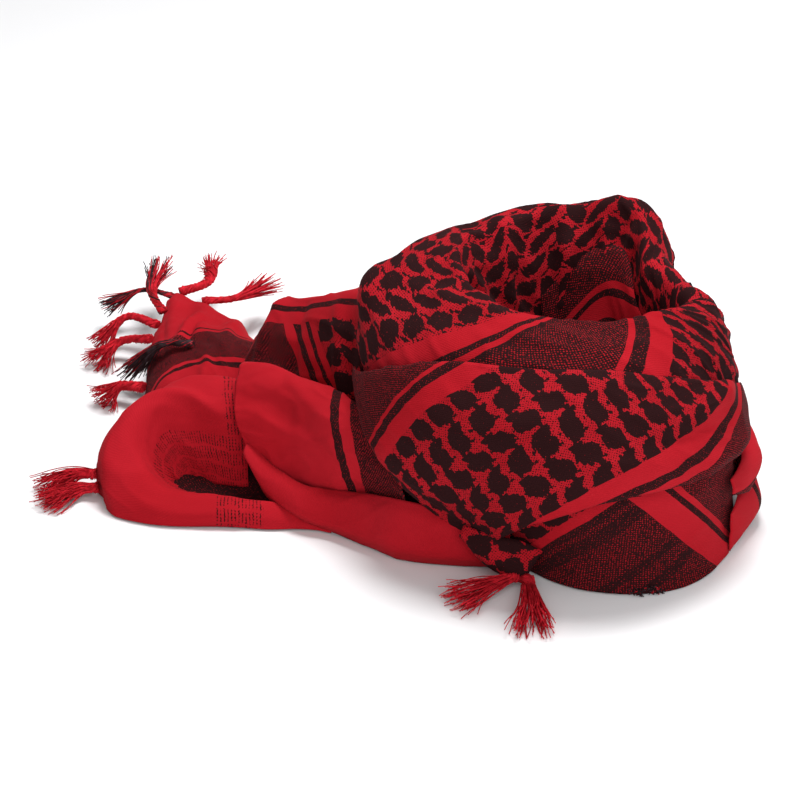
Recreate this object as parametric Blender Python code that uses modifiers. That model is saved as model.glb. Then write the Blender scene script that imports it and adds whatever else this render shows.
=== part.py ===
"""Square woven scarf with knotted tassels, wound once into a neck loop and laid on a table.

The loop stands at the right. Both ends run out to the left: the front one as a
folded mouth with a smooth flap over it, the rear one as a low ramp. Lengths in
the tables are millimetres, measured from the middle of the loop on the table.
"""

import math
from collections import namedtuple

import bmesh
import bpy
import numpy as np
from mathutils import Matrix, Vector

MM = 0.001

# Cloth
WALL = 1.5  # thickness of a cloth wall
SEAM = 0.45  # air left between neighbouring layers
FIRST_LAYER = SEAM + WALL / 2  # mid surface of a wall that lies on the hidden layers
TABLE_CLEARANCE = 0.3  # walls end this far above the table, which the hidden layers rest on
BELOW = 3.0  # the hidden layers run on below the table before they are cut off flat at it
CORE_INSET = 1.3  # the hidden layers keep this much further in

# Colours of the woven cotton
RED = (0.50, 0.012, 0.022, 1.0)
MAUVE = (0.20, 0.012, 0.022, 1.0)
BLACK = (0.02, 0.012, 0.012, 1.0)

COLLECTION = "scarf"
HELPERS = "joined_into_the_hidden_layers"
CUTTERS = "cutters"

# Neck loop: one row for each direction round it, anticlockwise from the right as seen from above.
# hole = inner radius; rim, shoulder, belly = radius and height of the outline; foot = radius on the table
Round = namedtuple("Round", "angle hole rim_r rim_z shoulder_r shoulder_z belly_r belly_z foot")
NECK = [
    Round(0, 58, 82, 156, 97, 134, 106, 82, 104),
    Round(35, 54, 67, 171, 81, 156, 104, 92, 106),
    Round(62, 52, 88, 193, 102, 175, 117, 98, 113),
    Round(95, 55, 90, 187, 107, 168, 122, 95, 117),
    Round(125, 60, 99, 177, 117, 161, 129, 95, 120),
    Round(150, 64, 100, 181, 130, 165, 138, 95, 126),
    Round(168, 63, 94, 178, 148, 157, 143, 92, 124),
    Round(182, 61, 87, 174, 137, 150, 142, 90, 118),
    Round(205, 56, 76, 170, 120, 150, 134, 90, 96),
    Round(230, 50, 65, 167, 103, 150, 126, 97, 76),
    Round(270, 46, 58, 165, 92, 152, 121, 100, 106),
    Round(315, 50, 66, 163, 92, 145, 114, 85, 107),
]
RIM_ROLL = 11.0  # the rim turns over with about this radius
TURN_COST = 22.0  # a turn of one radian draws as many cells as this length of cloth
STEP = 7.5  # degrees from one section of the loop to the next

# A layer of cloth on the loop: the levels it starts and ends at, and how far it stands off there and between.
# Levels follow the outline: 0 inner foot, 2 inside of the rim, 3 rim, 4 shoulder, 5 belly, 6 outer foot.
Lap = namedtuple("Lap", "angle start end lift_start lift_middle lift_end")
LOOP_BACK = [
    Lap(-43, 0.3, 1.2, 0, 0, 0),
    Lap(-29, 0.3, 2.0, 0, 0, 0),
    Lap(-14, 0.3, 2.9, 0, 0, 0),
    Lap(0, 0.3, 3.6, 0, 0, 0),
    Lap(14, 0.3, 4.3, 0, 0, 0),
    Lap(30, 0.3, 5.2, 0, 0, 0),
    Lap(46, 0.3, 5.95, 0, 0, 0),
    Lap(100, 0.3, 5.95, 0, 0, 0),
    Lap(140, 0.3, 5.9, 0, 0, 0),
    Lap(165, 0.3, 5.72, 0, 0, 0),
]
LOOP_FRONT = [
    Lap(165.2, 0.3, 5.72, 0, 0, 0),
    Lap(200, 0.3, 5.7, 0, 0, 0),
    Lap(235, 0.3, 5.75, 0, 0, 0),
    Lap(262, 0.3, 5.9, 0, 0, 0),
    Lap(302, 0.3, 5.9, 0, 0, 0),
    Lap(318, 0.9, 5.9, 3, 1.5, 0),
    Lap(334, 1.6, 5.9, 4.5, 2, 0),
    Lap(348, 2.4, 5.9, 5, 2.5, 0.5),
    Lap(360, 3.1, 5.9, 4.5, 3, 1),
    Lap(374, 3.75, 5.9, 3.5, 4, 2),
    Lap(390, 4.6, 5.9, 3, 4, 2),
]
FRONT_DRAPE = [
    Lap(178, 4.76, 4.86, 10, 13, 14),
    Lap(190, 4.6, 4.92, 13, 19, 20),
    Lap(203, 4.36, 5.25, 11, 23, 25),
    Lap(218, 4.12, 5.52, 8, 21, 27),
    Lap(234, 4.02, 5.66, 6, 12, 25),
    Lap(255, 4.02, 5.4, 3.2, 10, 14),
    Lap(285, 4.05, 5.2, 2.8, 9, 9),
    Lap(320, 4.28, 5.12, 2.9, 8, 7),
    Lap(350, 4.62, 5.02, 5.8, 9, 9),
]
UNDER_DRAPE = [
    Lap(247, 5.5, 5.97, 6, 6, 6),
    Lap(262, 5.15, 5.97, 3, 6, 10),
    Lap(285, 5.0, 5.97, 2, 8, 25),
    Lap(303, 4.98, 5.97, 2, 10, 33),
    Lap(318, 4.98, 5.97, 2.4, 8, 24),
    Lap(334, 5.0, 5.97, 4.4, 7.5, 13),
]
RIGHT_FOLD_UPPER = [
    Lap(326, 5.14, 5.3, 12, 12, 13),
    Lap(340, 5.08, 5.45, 9, 15, 15),
    Lap(352, 5.06, 5.42, 7, 18, 9),
    Lap(366, 5.02, 5.3, 7, 14, 8),
    Lap(380, 4.98, 5.15, 6.2, 7.4, 6.2),
]
RIGHT_FOLD_LOWER = [
    Lap(337, 5.55, 5.93, 8, 13, 12),
    Lap(350, 5.5, 5.93, 7, 20, 11),
    Lap(364, 5.45, 5.93, 7, 16, 8),
    Lap(378, 5.45, 5.9, 5.2, 8, 5.5),
]
INNER_FOLD = [
    Lap(8, 0.5, 1.4, 2.2, 2.4, 2.2),
    Lap(40, 0.5, 1.7, 2.4, 9, 3),
    Lap(75, 0.5, 1.75, 2.4, 11, 3),
    Lap(112, 0.5, 1.45, 2.2, 2.4, 2.2),
]


# Broad folds raised on a layer of the loop: the directions and levels they run between, and their size
Fold = namedtuple("Fold", "angle_a level_a angle_b level_b width height")
LOOP_BACK_FOLDS = [
    Fold(55, 4.3, 120, 4.9, 15, 8),
    Fold(60, 5.3, 150, 5.5, 16, 9),
    Fold(105, 3.9, 150, 4.4, 12, 6),
    Fold(75, 3.6, 50, 4.1, 10, 5),
]
FRONT_DRAPE_FOLDS = [
    Fold(205, 4.9, 250, 5.3, 14, 5),
    Fold(345, 4.75, 312, 4.85, 9, 4),
    Fold(275, 5.0, 318, 4.95, 12, 4),
]
UNDER_DRAPE_FOLDS = [
    Fold(262, 5.9, 305, 5.35, 12, 4),
    Fold(290, 5.95, 330, 5.5, 12, 4),
]
LOOP_FRONT_FOLDS = [
    Fold(200, 3.3, 250, 3.6, 10, 3),
    Fold(345, 3.2, 300, 3.6, 9, 3),
]
MM_PER_DEGREE = 2.0
MM_PER_LEVEL = 60.0


def fold_height(folds, angles, levels):
    """How far the folds stand out at each angle and level."""
    flat = np.stack([np.repeat(angles[:, None], levels.shape[1], 1) * MM_PER_DEGREE, levels * MM_PER_LEVEL], -1)
    height = np.zeros(levels.shape)
    for fold in folds:
        start = np.array([fold.angle_a * MM_PER_DEGREE, fold.level_a * MM_PER_LEVEL])
        run = np.array([fold.angle_b * MM_PER_DEGREE, fold.level_b * MM_PER_LEVEL]) - start
        share = np.clip(((flat - start) @ run) / (run @ run), 0, 1)
        away = np.linalg.norm(flat - start - share[..., None] * run, axis=-1)
        height += fold.height * np.exp(-((away / fold.width) ** 2))
    return height


def smooth(values, at, closed=False):
    """Points on a smooth curve through evenly numbered values, at places counted from 0."""
    values = np.asarray(values, float)
    at = np.asarray(at, float)
    count = len(values)
    if closed:
        padded = np.concatenate([values[-1:], values, values[:2]])
        base = np.floor(at).astype(int) % count
        part = at - np.floor(at)
    else:
        padded = np.concatenate([2 * values[:1] - values[1:2], values, 2 * values[-1:] - values[-2:-1]])
        base = np.clip(np.floor(at).astype(int), 0, count - 2)
        part = at - base
    part = part.reshape(at.shape + (1,) * (values.ndim - 1))
    before, here, after, last = (padded[base + step] for step in range(4))
    bend = 2 * before - 5 * here + 4 * after - last + part * (3 * (here - after) + last - before)
    return here + 0.5 * part * (after - before + part * bend)


def table_at(rows, angles, period=None):
    """The columns of a table, read off smoothly at these angles."""
    data = np.array(rows, float)
    known = data[:, 0]
    angles = np.asarray(angles, float)
    if period:
        angles = known[0] + (angles - known[0]) % period
        known = np.append(known, known[0] + period)
        places = np.interp(angles, known, np.arange(len(known)))
        return smooth(data[:, 1:], places, closed=True)
    places = np.interp(angles, known, np.arange(len(known)))
    return smooth(data[:, 1:], places)


def neck_outline(angle):
    """Radius and height of the loop's outline at one direction, from the inner foot to the outer foot."""
    hole, rim_r, rim_z, shoulder_r, shoulder_z, belly_r, belly_z, foot = table_at(NECK, [angle], 360)[0]
    return np.array([
        (hole, 0.0),
        (hole, 0.5 * rim_z),
        (rim_r - RIM_ROLL, rim_z - 0.8 * RIM_ROLL),
        (rim_r, rim_z),
        (shoulder_r, shoulder_z),
        (belly_r, belly_z),
        (foot, 0.0),
    ])


def even_levels(angle, start, end, count):
    """Levels from start to end, evenly spread along the outline and closer where it turns."""
    fine = np.linspace(start, end, 80)
    steps = np.diff(smooth(neck_outline(angle), fine), axis=0)
    turned = np.abs(np.diff(np.unwrap(np.arctan2(steps[:, 1], steps[:, 0]))))
    cost = np.linalg.norm(steps, axis=1)
    cost[1:] += TURN_COST * turned
    reached = np.concatenate([[0], np.cumsum(cost)])
    return np.interp(np.linspace(0, reached[-1], count), reached, fine)


def neck_grid(angles, levels, lifts):
    """Points on the loop at each angle and level, moved out by lifts. levels and lifts are angle x level."""
    points = np.zeros(levels.shape + (3,))
    for i, angle in enumerate(angles):
        outline = neck_outline(angle)
        here = smooth(outline, levels[i])
        step = 0.02
        along = smooth(outline, np.clip(levels[i] + step, 0, 6)) - smooth(outline, np.clip(levels[i] - step, 0, 6))
        along /= np.linalg.norm(along, axis=1)[:, None]
        outward = np.stack([-along[:, 1], along[:, 0]], axis=1)
        placed = here + outward * lifts[i][:, None]
        turn = math.radians(angle)
        points[i, :, 0] = placed[:, 0] * math.cos(turn)
        points[i, :, 1] = placed[:, 0] * math.sin(turn)
        points[i, :, 2] = placed[:, 1]
    return points


def steps_between(first, last):
    """The directions shared by all layers of the loop from one to another, and both ends."""
    shared = np.arange(math.ceil(first / STEP), math.floor(last / STEP) + 1) * STEP
    inside = shared[(shared > first + 2) & (shared < last - 2)]
    return np.concatenate([[first], inside, [last]])


def lap_points(rows, across, folds=()):
    """Grid of points of a layer that lies on the loop."""
    angles = steps_between(rows[0].angle, rows[-1].angle)
    start, end, lift_start, lift_middle, lift_end = table_at(rows, angles).T
    end = np.minimum(end, 5.97)
    levels = np.stack([even_levels(*row, across) for row in zip(angles, start, end)])
    share = (levels - start[:, None]) / (end - start)[:, None]
    middle = 4 * share * (1 - share)
    rounded = np.sqrt(np.clip(middle, 0, 1))
    ends = lift_start[:, None] * (1 - share) + lift_end[:, None] * share
    swell = (lift_middle - (lift_start + lift_end) / 2)[:, None] * rounded
    return neck_grid(angles, levels, FIRST_LAYER + ends + swell + fold_height(folds, angles, levels))


def section_points(sections, across, along, first=0, last=None):
    """Grid of points through a table of sections, from one section to another."""
    data = np.array([list(section) for section in sections], float)
    last = len(data) - 1 if last is None else last
    rows = smooth(data, np.linspace(first, last, along))
    return np.stack([smooth(row, np.linspace(0, data.shape[1] - 1, across)) for row in rows])


def normals_of(points):
    """Unit normals of a grid of points."""
    first = np.gradient(points, axis=0)
    second = np.gradient(points, axis=1)
    normal = np.cross(first, second)
    return normal / np.maximum(np.linalg.norm(normal, axis=2), 1e-9)[..., None]


def new_object(name, mesh, colour):
    material = bpy.data.materials.new(name)
    material.use_nodes = True
    shader = material.node_tree.nodes["Principled BSDF"]
    shader.inputs["Base Color"].default_value = colour
    shader.inputs["Roughness"].default_value = 0.85
    shader.inputs["Metallic"].default_value = 0.0
    mesh.materials.append(material)
    mesh.shade_smooth()
    made = bpy.data.objects.new(name, mesh)
    bpy.data.collections[COLLECTION].objects.link(made)
    return made


def cloth(name, points, colour=RED, wall=WALL):
    """A cloth wall whose mid surface runs through a grid of points."""
    points = points.copy()
    lowest = wall / 2 + TABLE_CLEARANCE
    points[..., 2] = np.maximum(points[..., 2], lowest)
    rows, columns = points.shape[:2]
    sheet = bmesh.new()
    bmesh.ops.create_grid(sheet, x_segments=columns - 1, y_segments=rows - 1, size=0.5)
    for vertex, place in zip(sheet.verts, points.reshape(-1, 3)):
        vertex.co = Vector(place) * MM
    bmesh.ops.triangulate(sheet, faces=sheet.faces[:], quad_method="SHORT_EDGE")
    mesh = bpy.data.meshes.new(name)
    sheet.to_mesh(mesh)
    sheet.free()
    made = new_object(name, mesh, colour)
    solidify = made.modifiers.new("wall", "SOLIDIFY")
    solidify.thickness = wall * MM
    solidify.offset = 0.0
    return made


def loop_core(name):
    """The hidden layers of the loop: a ring with a flat underside, just inside its visible cloth."""
    around, across, below = round(360 / STEP), 20, 4
    bpy.ops.mesh.primitive_torus_add(major_segments=around, minor_segments=across)
    ring = bpy.context.active_object
    angles = np.arange(around) * 360 / around
    outer = across - below
    levels = np.stack([even_levels(angle, 0.0, 6.0, outer) for angle in angles])
    surface = neck_grid(angles, levels, np.full_like(levels, -CORE_INSET))
    for i in range(around):
        inner_foot, outer_foot = surface[i, 0], surface[i, -1]
        closing = [outer_foot + (inner_foot - outer_foot) * share for share in (0.2, 0.4, 0.6, 0.8)]
        section = np.concatenate([surface[i], closing])
        section[outer:, 2] = -BELOW
        section[outer - 1, 2] = -BELOW
        section[0, 2] = -BELOW
        for j in range(across):
            ring.data.vertices[i * across + j].co = Vector(section[j]) * MM
    mesh = ring.data
    bpy.data.objects.remove(ring)
    outward(mesh)
    return new_object(name, mesh, MAUVE)


def outward(mesh):
    """Turn the faces of a closed mesh to face out."""
    turned = bmesh.new()
    turned.from_mesh(mesh)
    bmesh.ops.recalc_face_normals(turned, faces=turned.faces)
    turned.to_mesh(mesh)
    turned.free()


def heap(name, points, inset=FIRST_LAYER + CORE_INSET):
    """Hidden layers under a grid of cloth that runs over them from one foot to the other."""
    normal = normals_of(points)
    if normal[..., 2].mean() < 0:
        normal = -normal
    inner = (points - normal * inset)[:, 1:-1]
    middle = inner.mean(axis=1, keepdims=True)
    first, last = (0.84 * side + 0.16 * middle for side in (inner[:, :1], inner[:, -1:]))
    first[..., 2] = -BELOW - 1
    last[..., 2] = -BELOW - 1
    section = np.concatenate([first, inner, last], axis=1)
    rows, columns = section.shape[:2]
    filled = bmesh.new()
    grid = [[filled.verts.new(Vector(point) * MM) for point in row] for row in section]
    for i in range(rows - 1):
        for j in range(columns):
            after = (j + 1) % columns
            filled.faces.new((grid[i][j], grid[i][after], grid[i + 1][after], grid[i + 1][j]))
    caps = [filled.faces.new(grid[0]), filled.faces.new(grid[-1])]
    bmesh.ops.triangulate(filled, faces=caps)
    bmesh.ops.recalc_face_normals(filled, faces=filled.faces)
    mesh = bpy.data.meshes.new(name)
    filled.to_mesh(mesh)
    filled.free()
    return helper(name, mesh)


def block(name, centre, size, turn=0):
    """Box with its middle at a point, turned about the upright."""
    box = bmesh.new()
    bmesh.ops.create_cube(box, size=1.0)
    bmesh.ops.scale(box, vec=Vector(size) * MM, verts=box.verts)
    bmesh.ops.rotate(box, matrix=Matrix.Rotation(math.radians(turn), 3, "Z"), verts=box.verts)
    bmesh.ops.translate(box, vec=Vector(centre) * MM, verts=box.verts)
    mesh = bpy.data.meshes.new(name)
    box.to_mesh(mesh)
    box.free()
    return helper(name, mesh)


def helper(name, mesh):
    made = bpy.data.objects.new(name, mesh)
    made.hide_render = True
    made.display_type = "WIRE"
    bpy.data.collections[HELPERS].objects.link(made)
    return made


Flap = namedtuple("Flap", "hem belly ridge back heel")
FRONT_TAIL_FLAP = [
    Flap((-229, 10, 40), (-235, 24, 66), (-232, 54, 84), (-224, 72, 62), (-222, 79, 6)),
    Flap((-214, 0, 26), (-216, 10, 62), (-214, 38, 89), (-206, 56, 66), (-204, 62, 6)),
    Flap((-198, -8, 20), (-200, -2, 58), (-198, 22, 90), (-189, 42, 70), (-188, 50, 6)),
    Flap((-166, -30, 16), (-168, -32, 58), (-164, -14, 90), (-158, 8, 72), (-156, 16, 6)),
    Flap((-144, -40, 20), (-143, -45, 56), (-143, -37, 82), (-142, -22, 74), (-142, -12, 14)),
    Flap((-116, -66, 22), (-119, -73, 42), (-121, -73, 60), (-122, -67, 74), (-123, -60, 60)),
]
Roll = namedtuple("Roll", "foot bulge top tuck")
FRONT_TAIL_HEM = [
    Roll((-229, 2, 30), (-232, -1, 36), (-230, 2, 43), (-226, 6, 41)),
    Roll((-214, -12, 14), (-215, -17, 20), (-213, -12, 27), (-210, -6, 25)),
    Roll((-192, -33, 13), (-192, -38, 17), (-190, -31, 21), (-188, -22, 20)),
    Roll((-168, -38, 3), (-168, -45, 11), (-166, -42, 20), (-163, -36, 22)),
    Roll((-122, -73, 1), (-125, -83, 14), (-124, -80, 27), (-122, -75, 30)),
    Roll((-88, -79, 1), (-88, -86, 13), (-86, -82, 24), (-84, -75, 27)),
    Roll((-54, -80, 1), (-54, -87, 9), (-54, -85, 16), (-54, -79, 19)),
]
Strip = namedtuple("Strip", "low middle high")
FRONT_CORNER_HEM = [
    Strip((-80.4, -98.4, 28.8), (-82.3, -102.4, 33.8), (-79.2, -99.9, 38.5)),
    Strip((-64, -116, 14), (-66, -121, 18), (-62, -119, 23)),
    Strip((-46, -121, 6), (-48, -126, 9), (-44, -125, 14)),
    Strip((-30, -123, 2), (-32, -127, 4), (-29, -126, 8)),
]
Mouth = namedtuple("Mouth", "deep inner rim outer foot")
FRONT_TAIL_MOUTH = [
    Mouth((-186, -20, 2), (-186, -24, 3), (-186, -29, 7), (-186, -34, 4), (-186, -35, 1)),
    Mouth((-215, -3, 2), (-215, -10, 3), (-215, -22, 14), (-215, -33, 9), (-215, -35, 1)),
    Mouth((-246, 9, 2), (-248, -1, 4), (-250, -18, 17), (-250, -30, 11), (-250, -31, 1)),
    Mouth((-268, 15, 3), (-276, 4, 7), (-287, -8, 18), (-290, -26, 12), (-289, -29, 1)),
    Mouth((-276, 21, 5), (-290, 14, 14), (-305, 8, 32), (-320, -8, 20), (-319, -18, 1)),
    Mouth((-272, 24, 7), (-289, 24, 23), (-311, 20, 46), (-331, 10, 30), (-330, 6, 1)),
    Mouth((-264, 24, 8), (-280, 30, 30), (-300, 36, 59), (-326, 34, 42), (-330, 40, 1)),
    Mouth((-255, 20, 8), (-264, 28, 32), (-272, 42, 61), (-282, 68, 60), (-290, 92, 1)),
    Mouth((-243, 16, 8), (-246, 23, 32), (-250, 35, 61), (-254, 64, 68), (-256, 90, 1)),
    Mouth((-227, 13, 8), (-227, 19, 34), (-228, 32, 62), (-228, 56, 68), (-228, 82, 1)),
    Mouth((-206, 10, 8), (-206, 16, 34), (-206, 26, 60), (-206, 44, 62), (-206, 60, 1)),
]
Ramp = namedtuple("Ramp", "front_foot front ridge rear rear_foot")
REAR_TAIL_FOLD = [
    Ramp((-141, 12, 3), (-151, 22, 88), (-146, 48, 140), (-127, 80, 114), (-114, 88, 2)),
    Ramp((-154, 28, 3), (-158, 38, 88), (-152, 63, 134), (-138, 96, 108), (-130, 108, 2)),
    Ramp((-176, 48, 3), (-178, 56, 80), (-171, 86, 121), (-157, 118, 92), (-150, 134, 2)),
    Ramp((-200, 72, 3), (-202, 80, 70), (-192, 111, 105), (-179, 142, 80), (-170, 160, 2)),
    Ramp((-223, 97, 3), (-226, 104, 56), (-212, 133, 89), (-201, 162, 62), (-192, 182, 2)),
    Ramp((-238, 112, 3), (-240, 122, 36), (-230, 144, 52), (-219, 172, 40), (-210, 196, 2)),
]
Corner = namedtuple("Corner", "near_foot near middle far far_foot")
REAR_TAIL_END = [
    Corner((-206, 126, 3), (-206, 128, 24), (-201, 139, 42), (-193, 152, 32), (-188, 160, 3)),
    Corner((-226, 119, 3), (-226, 122, 26), (-219, 140, 46), (-209, 161, 34), (-203, 178, 3)),
    Corner((-246, 106, 3), (-246, 110, 34), (-243, 146, 50), (-232, 190, 36), (-226, 206, 3)),
    Corner((-262, 110, 3), (-262, 114, 36), (-261, 165, 46), (-252, 230, 34), (-246, 244, 4)),
    Corner((-278, 118, 3), (-278, 122, 32), (-279, 180, 40), (-276, 262, 31), (-268, 272, 14)),
    Corner((-294, 124, 3), (-294, 130, 26), (-296, 186, 34), (-293, 272, 31), (-288, 284, 22)),
    Corner((-306, 130, 3), (-307, 138, 12), (-308, 186, 16), (-303, 242, 20), (-300, 260, 16)),
]

# Tassels: root, bend and tip of the middle strand, the knot's radius and the tip's spread
Tassel = namedtuple("Tassel", "name root bend tip knot spread")
TASSELS = [
    Tassel("tassel_rear_black", (-292.5, 279.2, 29), (-318, 286, 32), (-344, 284, 20), 2.2, 9),
    Tassel("tassel_rear_left", (-299.5, 249.8, 29.6), (-309, 262, 40), (-307, 318, 38), 2.2, 8),
    Tassel("tassel_rear_tall", (-288.3, 279.7, 32.2), (-271, 284, 36), (-267, 334, 31), 2.6, 6),
    Tassel("tassel_rear_right", (-271, 261, 33.6), (-245, 266, 34), (-220, 304, 28), 2.2, 10),
    Tassel("tassel_rear_upper", (-303.3, 237.9, 25.1), (-326, 244, 24), (-350, 266, 8), 2.2, 9),
    Tassel("tassel_rear_lower", (-307.3, 221.8, 21.5), (-332, 230, 14), (-356, 228, 5), 2.2, 9),
    Tassel("tassel_rear_knot", (-273.4, 165, 45.2), (-298, 174, 41), (-324, 188, 12), 2.2, 10),
    Tassel("tassel_between_tails", (-310, 152, 16), (-328, 160, 12), (-342, 150, 5), 2.2, 8),
    Tassel("tassel_left_upper", (-336, 23, 13), (-352, 29, 8), (-374, 14, 4), 2.2, 9),
    Tassel("tassel_left_lower", (-333.9, 12.2, 8), (-350, 10, 5), (-368, -12, 4), 2.2, 9),
    Tassel("tassel_front_left", (-54, -122.9, 6.6), (-68, -136, 5), (-86, -150, 4), 2.2, 9),
    Tassel("tassel_front_right", (-28, -128, 5), (-32, -150, 5), (-36, -180, 4), 2.2, 9),
]


def frame_along(tangent):
    """Sideways and upward directions across a strand."""
    sideways = tangent.cross(Vector((0, 0, 1))).normalized()
    return sideways, sideways.cross(tangent).normalized()


def tassel(row, side=3, strand=1.1, joints=3):
    """A knot with square strands fused to it at their roots, drawn out face by face along a curve."""
    pitch = 2 * row.knot / side
    length = 2 * row.knot
    spine = [Vector(point) for point in smooth([row.root, row.bend, row.tip], np.linspace(0, 2, joints + 1))]
    forward = (spine[1] - spine[0]).normalized()
    sideways, upward = frame_along(forward)
    knot = bmesh.new()
    bmesh.ops.create_grid(knot, x_segments=side, y_segments=side, size=row.knot)
    raised = bmesh.ops.extrude_face_region(knot, geom=knot.faces[:], use_keep_orig=True)
    for item in raised["geom"]:
        if isinstance(item, bmesh.types.BMVert):
            item.co.z += length
    bmesh.ops.recalc_face_normals(knot, faces=knot.faces)
    tops = [face for face in knot.faces if face.normal.z > 0.9]
    bmesh.ops.inset_individual(knot, faces=tops, thickness=(pitch - strand) / 2)
    ends = [(face, face.calc_center_median().xy) for face in tops]
    for vertex in knot.verts:
        x, y, z = vertex.co
        vertex.co = spine[0] + sideways * x + upward * y + forward * z
    for joint in range(1, joints + 1):
        share = joint / joints
        before = (sideways, upward)
        sideways, upward = frame_along(spine[joint] - spine[joint - 1])
        grown = []
        for face, offset in ends:
            centre = face.calc_center_median()
            made = bmesh.ops.extrude_discrete_faces(knot, faces=[face])["faces"][0]
            fan = 1 + (row.spread / row.knot) * share * share
            target = spine[joint] + forward * length * (1 - share)
            target += sideways * offset.x * fan + upward * offset.y * (1 + 0.15 * fan)
            target.z = max(target.z, strand * 0.7 + TABLE_CLEARANCE)
            for vertex in made.verts:
                from_centre = vertex.co - centre
                across, above = (from_centre.dot(axis) for axis in before)
                vertex.co = target + sideways * across + upward * above
            grown.append((made, offset))
        ends = grown
    for vertex in knot.verts:
        vertex.co *= MM
    bmesh.ops.recalc_face_normals(knot, faces=knot.faces)
    mesh = bpy.data.meshes.new(row.name)
    knot.to_mesh(mesh)
    knot.free()
    return new_object(row.name, mesh, RED)


def centre_on_table():
    """Move everything so that the middle of the box round the whole scarf lies over the origin."""
    graph = bpy.context.evaluated_depsgraph_get()
    corners = []
    for made in bpy.data.collections[COLLECTION].objects:
        mesh = made.evaluated_get(graph).to_mesh()
        corners += [vertex.co.copy() for vertex in mesh.vertices]
    low = [min(corner[axis] for corner in corners) for axis in range(2)]
    high = [max(corner[axis] for corner in corners) for axis in range(2)]
    shift = Vector((-(low[0] + high[0]) / 2, -(low[1] + high[1]) / 2, 0))
    for made in bpy.data.objects:
        made.data.transform(Matrix.Translation(shift))


def main():
    for old in list(bpy.data.objects):
        bpy.data.objects.remove(old)
    for name in (COLLECTION, HELPERS, CUTTERS):
        bpy.context.scene.collection.children.link(bpy.data.collections.new(name))
    hidden = loop_core("hidden_layers")
    heap("under_flap", section_points(FRONT_TAIL_FLAP, 10, 8, 0.35, 3.9), 3.6)
    heap("under_mouth", section_points(FRONT_TAIL_MOUTH, 10, 9, 5.6, 10), 2.8)
    heap("under_rear_fold", section_points(REAR_TAIL_FOLD, 10, 8, 0.7, 3.8), 2.4)
    heap("under_rear_end", section_points(REAR_TAIL_END, 9, 9, 0, 4.7), 3.4)
    block("joins_front_tail", (-116, -20, 1), (72, 34, 12), 20)
    block("joins_rear_tail", (-130, 52, 1), (70, 40, 12), -20)
    joined = hidden.modifiers.new("joined", "BOOLEAN")
    joined.operation = "UNION"
    joined.solver = "EXACT"
    joined.operand_type = "COLLECTION"
    joined.collection = bpy.data.collections[HELPERS]
    table = block("table", (-100, 50, -25), (900, 900, 50))
    bpy.data.collections[HELPERS].objects.unlink(table)
    bpy.data.collections[CUTTERS].objects.link(table)
    flat = hidden.modifiers.new("flat underside", "BOOLEAN")
    flat.operation = "DIFFERENCE"
    flat.solver = "EXACT"
    flat.object = table

    cloth("loop_back", lap_points(LOOP_BACK, 18, LOOP_BACK_FOLDS), BLACK)
    cloth("loop_front", lap_points(LOOP_FRONT, 18, LOOP_FRONT_FOLDS), RED)
    cloth("front_drape", lap_points(FRONT_DRAPE, 10, FRONT_DRAPE_FOLDS), BLACK)
    cloth("under_drape", lap_points(UNDER_DRAPE, 7, UNDER_DRAPE_FOLDS), MAUVE)
    cloth("right_fold_upper", lap_points(RIGHT_FOLD_UPPER, 6), RED)
    cloth("right_fold_lower", lap_points(RIGHT_FOLD_LOWER, 6), RED)
    cloth("inner_fold", lap_points(INNER_FOLD, 8), MAUVE)
    cloth("front_tail_flap", section_points(FRONT_TAIL_FLAP, 12, 15), RED)
    cloth("front_tail_hem", section_points(FRONT_TAIL_HEM, 7, 18), RED)
    cloth("front_tail_mouth", section_points(FRONT_TAIL_MOUTH, 12, 26, 0, 8.9), RED)
    cloth("front_corner_hem", section_points(FRONT_CORNER_HEM, 4, 8), RED)
    cloth("rear_tail_fold", section_points(REAR_TAIL_FOLD, 12, 13, 0.0, 4.7), MAUVE)
    cloth("rear_tail_end", section_points(REAR_TAIL_END, 9, 10, 1), RED)
    for row in TASSELS:
        tassel(row)
    centre_on_table()


main()
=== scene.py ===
"""Looks of a wound woven scarf: patterned cloth, tassels, table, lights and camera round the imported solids.

Lengths in the tables are millimetres, measured from the middle of the neck loop on the table.
"""

import math
import random
from collections import namedtuple

import bmesh
import bpy
import numpy as np
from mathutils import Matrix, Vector, noise
from numpy.linalg import norm


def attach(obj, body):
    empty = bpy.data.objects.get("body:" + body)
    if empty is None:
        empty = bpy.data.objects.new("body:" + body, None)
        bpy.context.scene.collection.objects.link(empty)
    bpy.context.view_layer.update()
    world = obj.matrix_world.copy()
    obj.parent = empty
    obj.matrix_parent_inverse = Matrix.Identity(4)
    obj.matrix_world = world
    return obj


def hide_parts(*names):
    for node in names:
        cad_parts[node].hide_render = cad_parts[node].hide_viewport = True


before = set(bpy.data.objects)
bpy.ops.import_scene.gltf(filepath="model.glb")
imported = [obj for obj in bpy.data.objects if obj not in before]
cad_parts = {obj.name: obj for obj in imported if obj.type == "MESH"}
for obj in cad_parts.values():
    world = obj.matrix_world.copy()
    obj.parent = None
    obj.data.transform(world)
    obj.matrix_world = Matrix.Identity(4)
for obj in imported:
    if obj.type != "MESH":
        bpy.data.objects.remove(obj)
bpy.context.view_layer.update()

MM = 0.001
LOOP_MIDDLE = Vector((0.12653, -0.07675, 0.0))  # middle of the neck loop on the table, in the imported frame
BODY = "root"

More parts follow.
